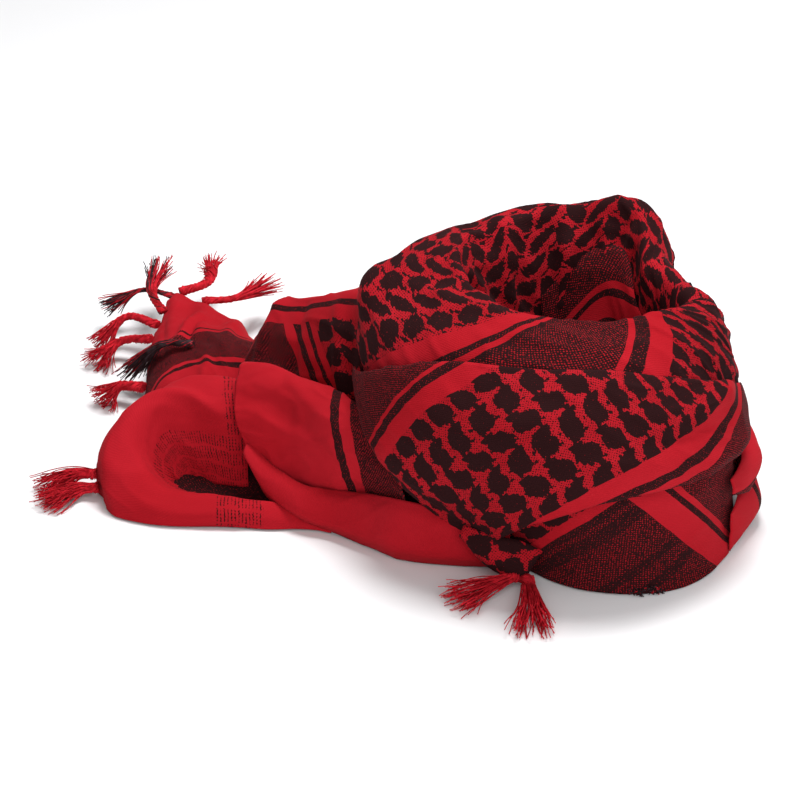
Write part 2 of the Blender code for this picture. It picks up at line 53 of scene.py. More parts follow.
# Cloth
WALL = 0.9  # thickness of the woven cloth
FIRST_LAYER = 1.2  # mid surface of a layer that lies on the hidden ones
TABLE_CLEARANCE = 0.8  # lowest height of a cloth's mid surface
DIRECTION_STEP = 1.5  # degrees from one row of points to the next round the loop
CLOTH_CELL = 2.2  # side of a cell of a cloth mesh
FEWEST_ROWS, FEWEST_COLUMNS = 12, 8  # of points in a small cloth's mesh
FACING_IN, FACING_OUT = -1, 1  # where the normals of a grid of points look, into the scarf or out of it
LAYER_PITCH, LAYER_DEPTH = 13.0, 2.6  # height of a fold of the hidden layers, and how deep it is drawn in
LAYER_WANDER, WANDER_SIZE = 9.0, 70.0  # how far they rise and fall, and over what length
LAYER_FOOT = 4.0  # up to this height they are drawn in less
LAYER_CELL, SAME_PLACE = 0.006, 0.00005  # in m: longest edge of their mesh, and points this close are joined
CELL_ROUNDS = 4  # times that long edges are halved
LAYER_WRAP, LAYER_SLOPE = 0.1, 0.4  # on the weave: m for each radian round the loop, and share of the reach
# Hidden layers under the far ends: where they draw back, over what length, how far, and the share they sink
HEAP_START, HEAP_EASE, HEAP_INSET, HEAP_SINK = -225.0, 25.0, 9.0, 0.45

# Colours of the cotton, and of the table
RED = (0.33, 0.0058, 0.0115, 1.0)
RED_WORN = (0.45, 0.013, 0.023, 1.0)
RED_LIT = (0.62, 0.016, 0.030, 1.0)
DARK = (0.019, 0.0046, 0.0052, 1.0)
DARK_WORN = (0.05, 0.03, 0.035, 1.0)
TABLE_WHITE = (0.86, 0.86, 0.87, 1.0)
TABLE_SHADE = (0.84, 0.84, 0.85, 1.0)

# Neck loop: one row for each direction round it, anticlockwise from the right as seen from above.
# hole = inner radius; rim, shoulder, belly = radius and height of the outline; foot = radius on the table
Round = namedtuple("Round", "angle hole rim_r rim_z shoulder_r shoulder_z belly_r belly_z foot")
NECK = [
    Round(0, 58, 82, 156, 97, 134, 106, 82, 104),
    Round(35, 54, 67, 171, 81, 156, 104, 92, 106),
    Round(62, 52, 88, 193, 102, 175, 117, 98, 113),
    Round(95, 55, 90, 187, 107, 168, 122, 95, 117),
    Round(125, 60, 99, 177, 117, 161, 129, 95, 120),
    Round(150, 64, 100, 181, 130, 165, 138, 95, 126),
    Round(168, 63, 94, 178, 148, 157, 143, 92, 124),
    Round(182, 61, 87, 174, 137, 150, 142, 90, 118),
    Round(205, 56, 76, 170, 120, 150, 134, 90, 96),
    Round(230, 50, 65, 167, 103, 150, 126, 97, 76),
    Round(270, 46, 58, 165, 92, 152, 121, 100, 106),
    Round(315, 50, 66, 163, 92, 145, 114, 85, 107),
]
RIM_ROLL, RIM_DROP = 11.0, 0.8  # radius of the rim's turn, and the share of it that it falls inside
TURN_COST = 22.0  # a turn of one radian draws as many cells as this length of cloth

# A layer of cloth on the loop: the levels it starts and ends at, and how far it stands off there and midway.
# Levels follow the outline: 0 inner foot, 2 inside of the rim, 3 rim, 4 shoulder, 5 belly, 6 outer foot.
OUTER_FOOT, LAST_LEVEL = 6, 5.97
LEVEL_SAMPLES, LEVEL_STEP = 200, 0.02
Lap = namedtuple("Lap", "angle start end lift_start lift_middle lift_end", defaults=(0, 0, 0))
NECK_LOOP = [
    (-43, 0.3, 1.2),
    (-29, 0.3, 2.0),
    (-14, 0.3, 2.9),
    (0, 0.3, 3.6),
    (14, 0.3, 4.3),
    (30, 0.3, 5.2),
    (46, 0.3, 5.95),
    (100, 0.3, 5.95),
    (140, 0.3, 5.9),
    (165, 0.3, 5.72),
    (200, 0.3, 5.7),
    (235, 0.3, 5.75),
    (262, 0.3, 5.9),
    (302, 0.3, 5.9),
    (318, 0.9, 5.9, 3, 1.5, 0),
    (334, 1.6, 5.9, 4.5, 2, 0),
    (348, 2.4, 5.9, 5, 2.5, 0.5),
    (360, 3.1, 5.9, 4.5, 3, 1),
    (374, 3.75, 5.9, 3.5, 4, 2),
    (390, 4.6, 5.9, 3, 4, 2),
]
FRONT_DRAPE = [
    (178, 4.76, 4.84, 8, 8, 8),
    (190, 4.6, 4.9, 9, 12, 12),
    (203, 4.36, 5.2, 9, 16, 16),
    (218, 4.12, 5.46, 7, 16, 20),
    (234, 4.02, 5.64, 5, 11, 23),
    (255, 4.02, 5.42, 3.2, 11, 18),
    (285, 4.05, 5.2, 2.8, 10, 13),
    (320, 4.28, 5.12, 2.9, 9, 10),
    (350, 4.62, 5.02, 5.8, 9, 9),
]
UNDER_DRAPE = [
    (230, 5.45, 5.97, 2, 3, 3),
    (245, 5.35, 5.97, 3, 5, 5),
    (262, 5.1, 5.97, 2, 3, 9),
    (285, 4.95, 5.97, 1.5, 4, 20),
    (303, 4.9, 5.97, 1.5, 6, 26),
    (318, 4.9, 5.97, 2, 6, 19),
    (334, 4.95, 5.97, 3, 6, 12),
]
RIGHT_FOLD_UPPER = [
    (326, 5.32, 5.45, 10, 12, 13),
    (340, 5.3, 5.56, 8, 16, 15),
    (352, 5.28, 5.56, 5, 20, 10),
    (366, 5.22, 5.48, 5, 15, 8),
    (380, 5.14, 5.32, 5, 7, 6),
]
RIGHT_FOLD_LOWER = [
    (326, 5.62, 5.95, 13, 15, 16),
    (338, 5.58, 5.95, 9, 18, 14),
    (350, 5.55, 5.95, 6, 22, 12),
    (364, 5.5, 5.95, 5, 17, 9),
    (378, 5.5, 5.93, 4.5, 8, 5.5),
]
INNER_FOLD = [
    (8, 0.5, 1.4, 2.2, 2.4, 2.2),
    (40, 0.5, 1.7, 2.4, 9, 3),
    (75, 0.5, 1.75, 2.4, 11, 3),
    (112, 0.5, 1.45, 2.2, 2.4, 2.2),
]

# Sections of the two ends, each from one side of the cloth to the other, with the points that it goes through
# hem, belly, ridge, back, heel
FRONT_TAIL_FLAP = [
    ((-229, 10, 40), (-238, 22, 64), (-233, 54, 84), (-224, 72, 62), (-222, 79, 6)),
    ((-214, 0, 26), (-218, 10, 62), (-214, 38, 89), (-206, 56, 66), (-204, 62, 6)),
    ((-198, -8, 20), (-200, -2, 58), (-198, 21, 88), (-189, 42, 70), (-188, 50, 6)),
    ((-166, -30, 16), (-168, -32, 58), (-164, -15, 87), (-158, 8, 72), (-156, 16, 6)),
    ((-144, -40, 20), (-143, -45, 56), (-143, -38, 81), (-142, -22, 75), (-142, -12, 14)),
    ((-116, -66, 22), (-119, -73, 42), (-121, -73, 60), (-122, -67, 74), (-123, -60, 60)),
]
# foot, bulge, top, tuck
FRONT_TAIL_HEM = [
    ((-229, 6, 36), (-231, 4, 40), (-230, 7, 44), (-227, 11, 44)),
    ((-214, -12, 13), (-215.5, -16, 21), (-213.5, -11, 30), (-209, -3, 32)),
    ((-192, -32, 8), (-193, -37, 15), (-191, -31, 25), (-188, -22, 28)),
    ((-168, -41, 2), (-169, -48, 12), (-167, -43, 26), (-163, -35, 31)),
    ((-144, -60, 1), (-146, -67, 14), (-144, -61, 31), (-142, -50, 36)),
    ((-122, -78, 1), (-125, -86, 16), (-123, -80, 36), (-121, -73, 44)),
    ((-88, -86, 1), (-89, -95, 14), (-87, -90, 31), (-85, -80, 38)),
    ((-48, -90, 1), (-49, -97, 12), (-48, -94, 25), (-48, -86, 32)),
]
# low, middle, high
FRONT_CORNER_HEM = [
    ((-80.4, -99.4, 28.8), (-82.3, -103.4, 33.8), (-79.2, -99.9, 39.5)),
    ((-66, -111, 16), (-66, -114, 24), (-60, -108, 36)),
    ((-50, -116, 8), (-49, -117, 18), (-42, -108, 32)),
    ((-38, -117, 3), (-35, -115, 12), (-26, -108, 24)),
]
# deep, inner, rim, outer, foot
FRONT_TAIL_MOUTH = [
    ((-170, -26, 2), (-170, -30, 3), (-170, -35, 6), (-170, -40, 3), (-170, -41, 1)),
    ((-186, -20, 2), (-186, -24, 3), (-186, -29, 7), (-186, -34, 4), (-186, -35, 1)),
    ((-215, -3, 2), (-215, -10, 3), (-215, -22, 14), (-215, -33, 9), (-215, -35, 1)),
    ((-246, 9, 2), (-248, -1, 4), (-250, -18, 17), (-250, -30, 11), (-250, -31, 1)),
    ((-268, 15, 3), (-276, 4, 7), (-287, -8, 18), (-290, -26, 12), (-289, -29, 1)),
    ((-276, 21, 5), (-290, 14, 14), (-305, 8, 32), (-320, -8, 20), (-319, -18, 1)),
    ((-272, 24, 7), (-289, 24, 23), (-311, 20, 46), (-331, 10, 30), (-330, 6, 1)),
    ((-264, 24, 8), (-280, 30, 30), (-300, 36, 59), (-326, 34, 42), (-330, 40, 1)),
    ((-255, 20, 8), (-264, 28, 32), (-272, 42, 61), (-282, 68, 60), (-290, 92, 1)),
    ((-243, 16, 8), (-246, 23, 32), (-250, 35, 61), (-254, 64, 68), (-256, 90, 1)),
    ((-227, 13, 8), (-227, 19, 34), (-228, 32, 62), (-228, 56, 68), (-228, 82, 1)),
    ((-206, 10, 8), (-206, 16, 34), (-206, 26, 60), (-206, 44, 62), (-206, 60, 1)),
]
MOUTH_END = 9.9  # the mouth's cloth stops between its last two sections, under the flap
# front, middle, back
MOUTH_POCKET = [
    ((-176, -27, 2), (-178, -8, 5), (-178, 16, 16)),
    ((-215, -14, 2), (-215, 4, 4), (-215, 20, 14)),
    ((-246, -4, 3), (-248, 12, 5), (-245, 26, 14)),
    ((-270, 2, 4), (-268, 16, 6), (-262, 30, 16)),
    ((-287, 6, 4), (-284, 18, 7), (-276, 32, 18)),
]
# front foot, front, ridge, rear, rear foot
REAR_TAIL_FOLD = [
    ((-137, 6, 3), (-149, 17, 84), (-143, 41, 134), (-119, 71, 106), (-100, 74, 2)),
    ((-141, 12, 3), (-151, 22, 88), (-146, 48, 140), (-127, 80, 114), (-114, 88, 2)),
    ((-154, 28, 3), (-158, 38, 88), (-152, 63, 134), (-138, 96, 108), (-130, 108, 2)),
    ((-176, 48, 3), (-178, 56, 80), (-171, 86, 121), (-157, 118, 92), (-150, 134, 2)),
    ((-200, 72, 3), (-202, 80, 70), (-192, 111, 105), (-179, 142, 80), (-170, 160, 2)),
    ((-223, 97, 3), (-226, 104, 56), (-212, 133, 89), (-201, 162, 62), (-192, 182, 2)),
    ((-238, 112, 3), (-240, 122, 36), (-230, 144, 52), (-219, 172, 40), (-210, 196, 2)),
]
FOLD_END = 5.7  # the fold's cloth stops between its last two sections, over the low end
# near foot, near, middle, far, far foot
REAR_TAIL_END = [
    ((-206, 126, 3), (-206, 128, 24), (-201, 139, 42), (-193, 152, 32), (-188, 160, 3)),
    ((-226, 119, 3), (-226, 122, 26), (-219, 140, 46), (-209, 161, 34), (-203, 178, 3)),
    ((-246, 106, 3), (-246, 110, 34), (-243, 146, 50), (-232, 190, 36), (-226, 206, 3)),
    ((-262, 110, 3), (-262, 114, 36), (-261, 165, 46), (-252, 230, 34), (-246, 244, 4)),
    ((-278, 118, 3), (-278, 122, 32), (-279, 180, 40), (-276, 262, 31), (-268, 272, 14)),
    ((-294, 124, 3), (-294, 130, 26), (-296, 186, 34), (-293, 272, 31), (-288, 284, 22)),
    ((-306, 130, 3), (-307, 138, 12), (-308, 186, 16), (-303, 242, 20), (-300, 260, 16)),
]

# A crease in a cloth: where it starts and ends, in shares along and across it, half width, height and bow
Crease = namedtuple("Crease", "along_a across_a along_b across_b width height bow")
LEAST_HEIGHT, FADE_START = 0.25, 0.12  # least share of its height, and where on a half wave it starts

NECK_CREASES = [
    (0.226, 0.56, 0.376, 0.66, 15, 8, 0),
    (0.238, 0.77, 0.446, 0.82, 16, 9, 6),
    (0.342, 0.49, 0.446, 0.57, 12, 6, 0),
    (0.27, 0.46, 0.215, 0.53, 10, 5, 0),
    (0.3, 0.92, 0.42, 0.94, 9, 5, 3),
    (0.18, 0.62, 0.24, 0.85, 9, 4, 4),
    (0.896, 0.44, 0.792, 0.47, 9, 3, 0),
    (0.561, 0.45, 0.677, 0.47, 10, 3, 0),
    (0.49, 0.36, 0.56, 0.5, 6, 3, 3),
    (0.52, 0.52, 0.6, 0.44, 6, 3, -3),
    (0.4, 0.18, 0.47, 0.4, 7, 3, 4),
    (0.33, 0.12, 0.4, 0.38, 7, -3, 3),
    (0.27, 0.2, 0.24, 0.42, 6, 4, -3),
    (0.22, 0.1, 0.2, 0.4, 6, -3, 2),
    (0.385, 0.47, 0.405, 0.3, 11, 9, 2),
    (0.322, 0.43, 0.332, 0.28, 10, 8, -3),
    (0.285, 0.44, 0.262, 0.3, 8, 5, 0),
    (0.14, 0.62, 0.5, 0.6, 10, 6, 14),
    (0.1, 0.72, 0.38, 0.76, 9, 6, -10),
    (0.24, 0.7, 0.52, 0.7, 9, 5, 12),
    (0.16, 0.86, 0.44, 0.88, 11, 6, -8),
    (0.3, 0.96, 0.56, 0.92, 8, 5, 6),
    (0.11, 0.94, 0.26, 0.97, 8, 4, 3),
    (0.12, 0.5, 0.16, 0.9, 9, 4, 5),
]
DRAPE_CREASES = [
    (0.16, 0.6, 0.42, 0.8, 14, 5, 0),
    (0.97, 0.3, 0.78, 0.42, 7, 4, 0),
    (0.99, 0.62, 0.8, 0.66, 6, 4, 2),
    (0.98, 0.9, 0.82, 0.84, 6, 3, 0),
    (0.56, 0.62, 0.81, 0.66, 12, 4, 0),
    (0.3, 0.3, 0.52, 0.36, 10, 2, 3),
    (0.88, 0.5, 0.72, 0.53, 5, -3, 2),
]
FLAP_CREASES = [
    (0.08, 0.62, 0.7, 0.46, 5, 2.5, 5),
    (0.3, 0.42, 0.62, 0.36, 6, 2, -4),
    (0.1, 0.3, 0.55, 0.22, 7, -2, 4),
]
MOUTH_CREASES = [
    (0.73, 0.47, 0.928, 0.345, 5, 4.5, 0),
    (0.64, 0.8, 0.766, 0.62, 6, 3, 3),
    (0.748, 0.88, 0.91, 0.66, 7, 3, -4),
    (0.515, 0.9, 0.569, 0.66, 6, 2.5, 2),
    (0.281, 0.8, 0.425, 0.86, 7, -2, 2),
]
FOLD_CREASES = [
    (0.2, 0.1, 0.28, 0.44, 7, 4, 3),
    (0.62, 0.12, 0.56, 0.46, 6, -3, 3),
    (0.82, 0.18, 0.76, 0.5, 7, 4, -2),
    (0.3, 0.9, 0.5, 0.58, 9, 4, 4),
    (0.7, 0.92, 0.66, 0.6, 8, 4, -3),
]
END_CREASES = [
    (0.6, 0.7, 0.73, 0.42, 4, 5, 0),
    (0.56, 0.66, 0.68, 0.42, 3, -3, 0),
    (0.34, 0.95, 0.3, 0.45, 6, 4, 3),
    (0.62, 0.96, 0.58, 0.5, 6, 3, -3),
    (0.5, 0.1, 0.44, 0.4, 6, 3, 2),
    (0.85, 0.8, 0.8, 0.3, 5, -2, 2),
]

# Where a cloth lies across and along the weave. Each is a start in mm, the shares of the lengths along and
# across the cloth, three bends for each metre (along, both, across) and a swing along it.
Cut = namedtuple("Cut", "across along")


def turned(turn, across=0.0, along=0.0, ease=1.0):
    """A flat cut: the cloth is only turned on the weave, moved there, and eased."""
    cosine, sine = math.cos(math.radians(turn)), math.sin(math.radians(turn))
    return Cut((across / ease, cosine / ease, sine / ease, 0, 0, 0, 0), (along, -sine, cosine, 0, 0, 0, 0))


def placed_on(row, along, across):
    """Place on the weave of lengths along and across a cloth."""
    start, with_along, with_across, bend_along, bend_both, bend_across, swing = row
    straight = start + with_along * along + with_across * across + swing * along ** 3 * MM * MM
    bent = bend_along * along * along + bend_both * along * across + bend_across * across * across
    return straight + bent * MM


NECK_CUT = turned(30, -201, ease=1.22)
DRAPE_CUT = Cut(
    (73.0, 0.444, 0.758, -1.43, 1.68, 0.88, 7.45),
    (-2.9, -0.769, 0.557, -1.19, -1.78, -1.75, 0),
)
UNDER_CUT = Cut((0.6, 0.543, 0.862, 0, 0, 0, 0), (1.6, -0.701, 0.744, 0, 0, 0, 0))
UPPER_CUT = turned(-90, 179)
LOWER_CUT = turned(0, 14)
INNER_CUT = turned(58)
FLAP_CUT = turned(18)
HEM_CUT = turned(0, -150)
MOUTH_CUT = turned(90, 0, 8)
POCKET_CUT = turned(90)
CORNER_CUT = turned(30, 40)
REAR_CUT = Cut((5, -0.83, 0.56, 0, 0, 0, 0), (0, 0, -1, 0, 0, 0, 0))
END_CUT = turned(68)


def smooth(values, at, closed=False):
    """Points on a smooth curve through evenly numbered values, at places counted from 0."""
    values = np.asarray(values, float)
    at = np.asarray(at, float)
    count = len(values)
    if closed:
        padded = np.concatenate([values[-1:], values, values[:2]])
        base = np.floor(at).astype(int) % count
        part = at - np.floor(at)
    else:
        padded = np.concatenate([2 * values[:1] - values[1:2], values, 2 * values[-1:] - values[-2:-1]])
        base = np.clip(np.floor(at).astype(int), 0, count - 2)
        part = at - base
    part = part.reshape(at.shape + (1,) * (values.ndim - 1))
    before, here, after, last = (padded[base + step] for step in range(4))
    bend = 2 * before - 5 * here + 4 * after - last + part * (3 * (here - after) + last - before)
    return here + 0.5 * part * (after - before + part * bend)


def table_at(rows, angles, period=None):
    """The columns of a table, read off smoothly at these angles."""
    data = np.array(rows, float)
    known = data[:, 0]
    angles = np.asarray(angles, float)
    if period:
        angles = known[0] + (angles - known[0]) % period
        known = np.append(known, known[0] + period)
        places = np.interp(angles, known, np.arange(len(known)))
        return smooth(data[:, 1:], places, closed=True)
    places = np.interp(angles, known, np.arange(len(known)))
    return smooth(data[:, 1:], places)


def neck_outline(angle):
    """Radius and height of the loop's outline at one direction, from the inner foot to the outer foot."""
    hole, rim_r, rim_z, shoulder_r, shoulder_z, belly_r, belly_z, foot = table_at(NECK, [angle], 360)[0]
    return np.array([
        (hole, 0.0),
        (hole, 0.5 * rim_z),
        (rim_r - RIM_ROLL, rim_z - RIM_DROP * RIM_ROLL),
        (rim_r, rim_z),
        (shoulder_r, shoulder_z),
        (belly_r, belly_z),
        (foot, 0.0),
    ])


def even_levels(angle, start, end, count):
    """Levels from start to end, evenly spread along the outline and closer where it turns."""
    fine = np.linspace(start, end, LEVEL_SAMPLES)
    steps = np.diff(smooth(neck_outline(angle), fine), axis=0)
    bends = np.abs(np.diff(np.unwrap(np.arctan2(steps[:, 1], steps[:, 0]))))
    cost = norm(steps, axis=1)
    cost[1:] += TURN_COST * bends
    reached = np.concatenate([[0], np.cumsum(cost)])
    return np.interp(np.linspace(0, reached[-1], count), reached, fine)


def neck_grid(angles, levels, lifts):
    """Points on the loop at each angle and level, moved out by lifts. levels and lifts are angle x level."""
    points = np.zeros(levels.shape + (3,))
    for i, angle in enumerate(angles):
        outline = neck_outline(angle)
        here = smooth(outline, levels[i])
        before = smooth(outline, np.clip(levels[i] - LEVEL_STEP, 0, OUTER_FOOT))
        along = smooth(outline, np.clip(levels[i] + LEVEL_STEP, 0, OUTER_FOOT)) - before
        along /= norm(along, axis=1)[:, None]
        outward = np.stack([-along[:, 1], along[:, 0]], axis=1)
        placed = here + outward * lifts[i][:, None]
        turn = math.radians(angle)
        points[i, :, 0] = placed[:, 0] * math.cos(turn)
        points[i, :, 1] = placed[:, 0] * math.sin(turn)
        points[i, :, 2] = placed[:, 1]
    return points


def lap_points(rows, columns):
    """Fine grid of points of a layer that lies on the loop."""
    rows = [Lap(*row) for row in rows]
    count = round((rows[-1].angle - rows[0].angle) / DIRECTION_STEP)
    angles = np.linspace(rows[0].angle, rows[-1].angle, count + 1)
    start, end, lift_start, lift_middle, lift_end = table_at(rows, angles).T
    end = np.minimum(end, LAST_LEVEL)
    levels = np.stack([even_levels(*row, columns) for row in zip(angles, start, end)])
    share = (levels - start[:, None]) / (end - start)[:, None]
    rounded = np.sqrt(np.clip(4 * share * (1 - share), 0, 1))
    ends = lift_start[:, None] * (1 - share) + lift_end[:, None] * share
    swell = (lift_middle - (lift_start + lift_end) / 2)[:, None] * rounded
    return neck_grid(angles, levels, FIRST_LAYER + ends + swell)


def section_points(sections, first=0, last=None):
    """Fine grid of points through a table of sections, from one section to another."""
    data = np.array(sections, float)
    last = len(data) - 1 if last is None else last
    middle = data[:, data.shape[1] // 2]
    along = round(norm(np.diff(middle, axis=0), axis=1).sum() / CLOTH_CELL)
    across = round(norm(np.diff(data[len(data) // 2], axis=0), axis=1).sum() / CLOTH_CELL)
    rows = smooth(data, np.linspace(first, last, max(along, FEWEST_ROWS)))
    places = np.linspace(0, data.shape[1] - 1, max(across, FEWEST_COLUMNS))
    return np.stack([smooth(row, places) for row in rows])


def normals_of(points):
    """Unit normals of a grid of points."""
    normal = np.cross(np.gradient(points, axis=0), np.gradient(points, axis=1))
    return normal / np.maximum(norm(normal, axis=2), 1e-9)[..., None]


def unrolled(points):
    """Lengths along and across a grid of points, measured on the cloth from its middle."""
    along = norm(np.diff(points, axis=0), axis=2)
    across = norm(np.diff(points, axis=1), axis=2)
    middle = points.shape[1] // 2
    spine = np.concatenate([[0], np.cumsum(along[:, middle])])
    ribs = np.concatenate([np.zeros((len(points), 1)), np.cumsum(across, axis=1)], axis=1)
    ribs -= ribs[:, middle:middle + 1]
    return np.repeat((spine - spine[-1] / 2)[:, None], points.shape[1], 1), ribs


def crease_height(creases, along, across):
    """How far the creases stand out at each point of a cloth."""
    lengths = np.array([np.ptp(along), np.ptp(across)])
    flat = np.stack([along - along.min(), across - across.min()], -1)
    height = np.zeros(along.shape)
    for crease in map(Crease._make, creases):
        start = np.array([crease.along_a, crease.across_a]) * lengths
        run = np.array([crease.along_b, crease.across_b]) * lengths - start
        side = np.array([-run[1], run[0]]) / norm(run)
        share = np.clip(((flat - start) @ run) / (run @ run), 0, 1)
        bowed = start + share[..., None] * run + (crease.bow * 4 * share * (1 - share))[..., None] * side
        away = norm(flat - bowed, axis=-1)
        wave = np.sin(math.pi * (FADE_START + (1 - 2 * FADE_START) * share))
        fade = LEAST_HEIGHT + (1 - LEAST_HEIGHT) * wave
        height += crease.height * fade * np.exp(-((away / crease.width) ** 2))
    return height


# Kinds of ripple: how much finer than the widest along and across, shift of the noise, and strength
Ripple = namedtuple("Ripple", "along across shift strength")
WIDE, FINE, PINCHED = Ripple(1, 1, 0, 1), Ripple(2.1, 2.3, 7.3, 0.45), Ripple(1.2, 1.4, 3.1, 0.75)
RIPPLE_LENGTH, PINCH = 2.6, 3.2  # length of a ripple for its width, and how narrow a pinched ridge is


def ripple_at(kind, a, b, seed):
    """Height of one kind of ripple at a place, from -1 to 1."""
    return noise.noise(Vector((kind.along * a, kind.across * b, seed + kind.shift)))


def ripples(along, across, size, height, lean, seed):
    """Soft uneven ripples, longer along one direction of the cloth."""
    turn = math.radians(lean)
    lengthwise = (along * math.cos(turn) + across * math.sin(turn)) / (RIPPLE_LENGTH * size)
    sideways = (-along * math.sin(turn) + across * math.cos(turn)) / size
    found = []
    for a, b in zip(lengthwise.flat, sideways.flat):
        ridge = 1 - min(1, abs(PINCH * ripple_at(PINCHED, a, b, seed)))
        soft = WIDE.strength * ripple_at(WIDE, a, b, seed) + FINE.strength * ripple_at(FINE, a, b, seed)
        found.append(soft + PINCHED.strength * ridge ** 2)
    return height * np.array(found).reshape(along.shape)


def dress(points, creases, side=FACING_IN, size=26, height=1.6, lean=20, seed=0.0):
    """A grid of points with its creases and ripples raised on the side that faces out."""
    along, across = unrolled(points)
    raised = crease_height(creases, along, across) + ripples(along, across, size, height, lean, seed)
    return points + side * normals_of(points) * raised[..., None]


def in_scene(name, data):
    """A new object in the scene."""
    made = bpy.data.objects.new(name, data)
    bpy.context.scene.collection.objects.link(made)
    return made


def new_mesh(name, points, faces, materials):
    """A smooth mesh of points given in mm from the middle of the neck loop."""
    mesh = bpy.data.meshes.new(name)
    mesh.from_pydata((points * MM + np.array(LOOP_MIDDLE)).tolist(), [], faces)
    for material in materials:
        mesh.materials.append(material)
    mesh.shade_smooth()
    return mesh


def cloth(name, points, material, cut, replaces):
    """A thin woven sheet through a grid of points, with its place on the weave as its map."""
    along, across = unrolled(points)
    weave_u, weave_v = (placed_on(row, along, across) for row in cut)
    points = points.copy()
    points[..., 2] = np.maximum(points[..., 2], TABLE_CLEARANCE)
    rows, columns = points.shape[:2]
    number = np.arange(rows * columns).reshape(rows, columns)
    corners = [number[:-1, :-1], number[1:, :-1], number[1:, 1:], number[:-1, 1:]]
    faces = np.stack([corner.ravel() for corner in corners], axis=1)
    points = points.reshape(-1, 3)
    mesh = new_mesh(name, points, faces.tolist(), [material])
    weave_map = mesh.uv_layers.new(name="weave")
    flat = np.stack([weave_u.ravel(), weave_v.ravel()], axis=1) * MM
    weave_map.data.foreach_set("uv", flat[faces.ravel()].ravel())
    made = in_scene(name, mesh)
    solidify = made.modifiers.new("cloth", "SOLIDIFY")
    solidify.thickness = WALL * MM
    solidify.offset = 0.0
    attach(made, BODY)
    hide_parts(*replaces)
    width, length = np.ptp(across, axis=1).max() * MM, np.ptp(along) * MM
    area = min(area_of(points * MM, faces), width * length)
    print("SHEET", name, "flat %.3f x %.3f m, area %.4f" % (width, length, area))


def area_of(places, faces):
    """Area of a mesh of four-cornered faces."""
    a, b, c, d = (places[faces[:, corner]] for corner in range(4))
    halves = np.cross(b - a, c - a), np.cross(c - a, d - a)
    return 0.5 * sum(norm(half, axis=1) for half in halves).sum()


# Stripes of the weave: where each starts in mm, and its kind. PLAIN is red, MAUVE and STRIPE have more dark
# thread, and the kind that is dark all over is painted shade, for cloth that lies in deep shadow. A field has
# a pattern. OPEN lets the stripes that it crosses show.
PLAIN, MAUVE, STRIPE, PAINTED_SHADE = "plain", "mauve", "stripe", "deep"
FIRST, SECOND, OPEN = "first field", "second field", "open"
KINDS = {
    PLAIN: (0, 0, 0, 0),
    MAUVE: (0, 1, 0, 0),
    STRIPE: (1, 0, 0, 0),
    FIRST: (0, 0, 1, 0),
    SECOND: (0, 0, 0, 1),
    # dark all over: painted shade, not a stripe of the weave
    PAINTED_SHADE: (1, 1, 0, 0),
    OPEN: (1, 1, 1, 1),
}
OPEN_SUM = 3.5  # above this the four shares of a kind make it OPEN
Band = namedtuple("Band", "start kind")
LAST_BAND = 400.0  # width of the last band of a table
NECK_BORDER = [
    Band(-400, SECOND), Band(-108, PLAIN), Band(-99, STRIPE), Band(-94, PLAIN), Band(-90, STRIPE),
    Band(-86, MAUVE), Band(-38, PLAIN), Band(-34, STRIPE), Band(-27, PLAIN), Band(-12, FIRST),
    Band(100, PLAIN), Band(117, STRIPE), Band(122, PLAIN), Band(127, MAUVE), Band(174, PLAIN),
]
DRAPE_BORDER = [
    Band(-400, MAUVE), Band(-26, PLAIN), Band(-21, STRIPE), Band(-13, PLAIN), Band(0, FIRST),
    Band(116, PLAIN), Band(130, STRIPE), Band(139, PLAIN), Band(146, MAUVE),
]
UNDER_BORDER = [
    Band(-100, FIRST), Band(-25, PLAIN), Band(-17, STRIPE), Band(-11, MAUVE), Band(-5, STRIPE),
    Band(5, MAUVE), Band(33, STRIPE), Band(40, MAUVE), Band(49, STRIPE), Band(55, MAUVE),
]
UNDER_CROSSING = [
    Band(-100, MAUVE), Band(-46, PLAIN), Band(-42, STRIPE), Band(-37, PLAIN), Band(-15, OPEN),
    Band(90, PLAIN),
]
# The inner fold's stripes and mauve are the weave; its last band, dark all over, is painted shade where the
# fold lies deep in the hole.
INNER_BORDER = [
    Band(-100, PLAIN), Band(8, STRIPE), Band(13, PLAIN), Band(26, STRIPE), Band(31, PLAIN),
    Band(37, MAUVE), Band(75, PAINTED_SHADE),
]
FLAP_BORDER = [Band(-100, PLAIN), Band(1, STRIPE), Band(8, PLAIN), Band(19, MAUVE)]
MOUTH_BORDER = [Band(-100, SECOND), Band(-22, PLAIN)]
MOUTH_CROSSING = [Band(-300, SECOND), Band(-112, OPEN), Band(56, SECOND), Band(88, PLAIN)]
REAR_BORDER = [
    Band(-100, MAUVE), Band(-29, PLAIN), Band(-21, STRIPE), Band(-15, PLAIN), Band(-10, STRIPE),
    Band(-6, PLAIN), Band(0, FIRST),
]
REAR_CROSSING = [Band(-200, PLAIN), Band(4, STRIPE), Band(9, PLAIN), Band(17, OPEN)]
# Painted shade: a cloth dark all over, with one stripe band, for the hidden layers and the mouth's pocket,
# which lie in shadow.
PAINTED_SHADOW_BORDER = [Band(-300, PAINTED_SHADE), Band(-30, STRIPE), Band(60, PAINTED_SHADE)]
END_BORDER = [
    Band(-100, PLAIN), Band(-34, STRIPE), Band(-31, PLAIN), Band(-27, MAUVE), Band(10, PLAIN),
    Band(14, STRIPE), Band(17, PLAIN),
]

# Leaves: steps along a chain and from chain to chain, half length and half width, how much every other chain
# differs from that, and lean; then the tail and the stem
LEAF_ALONG, LEAF_ACROSS = 21.0, 18.5
LEAF_HALF_LENGTH, LEAF_HALF_WIDTH = 8.5, 7.5
LEAF_LONGER, LEAF_NARROWER = 0.8, 0.7
LEAF_LEAN = 0.18
TAIL_HALF_WIDTH, TAIL_TAPER, TAIL_SWING = 3.0, 0.15, 4.0
STEM_HALF_WIDTH, STEM_PLACE, STEM_SWING = 0.75, 3.2, 3.0
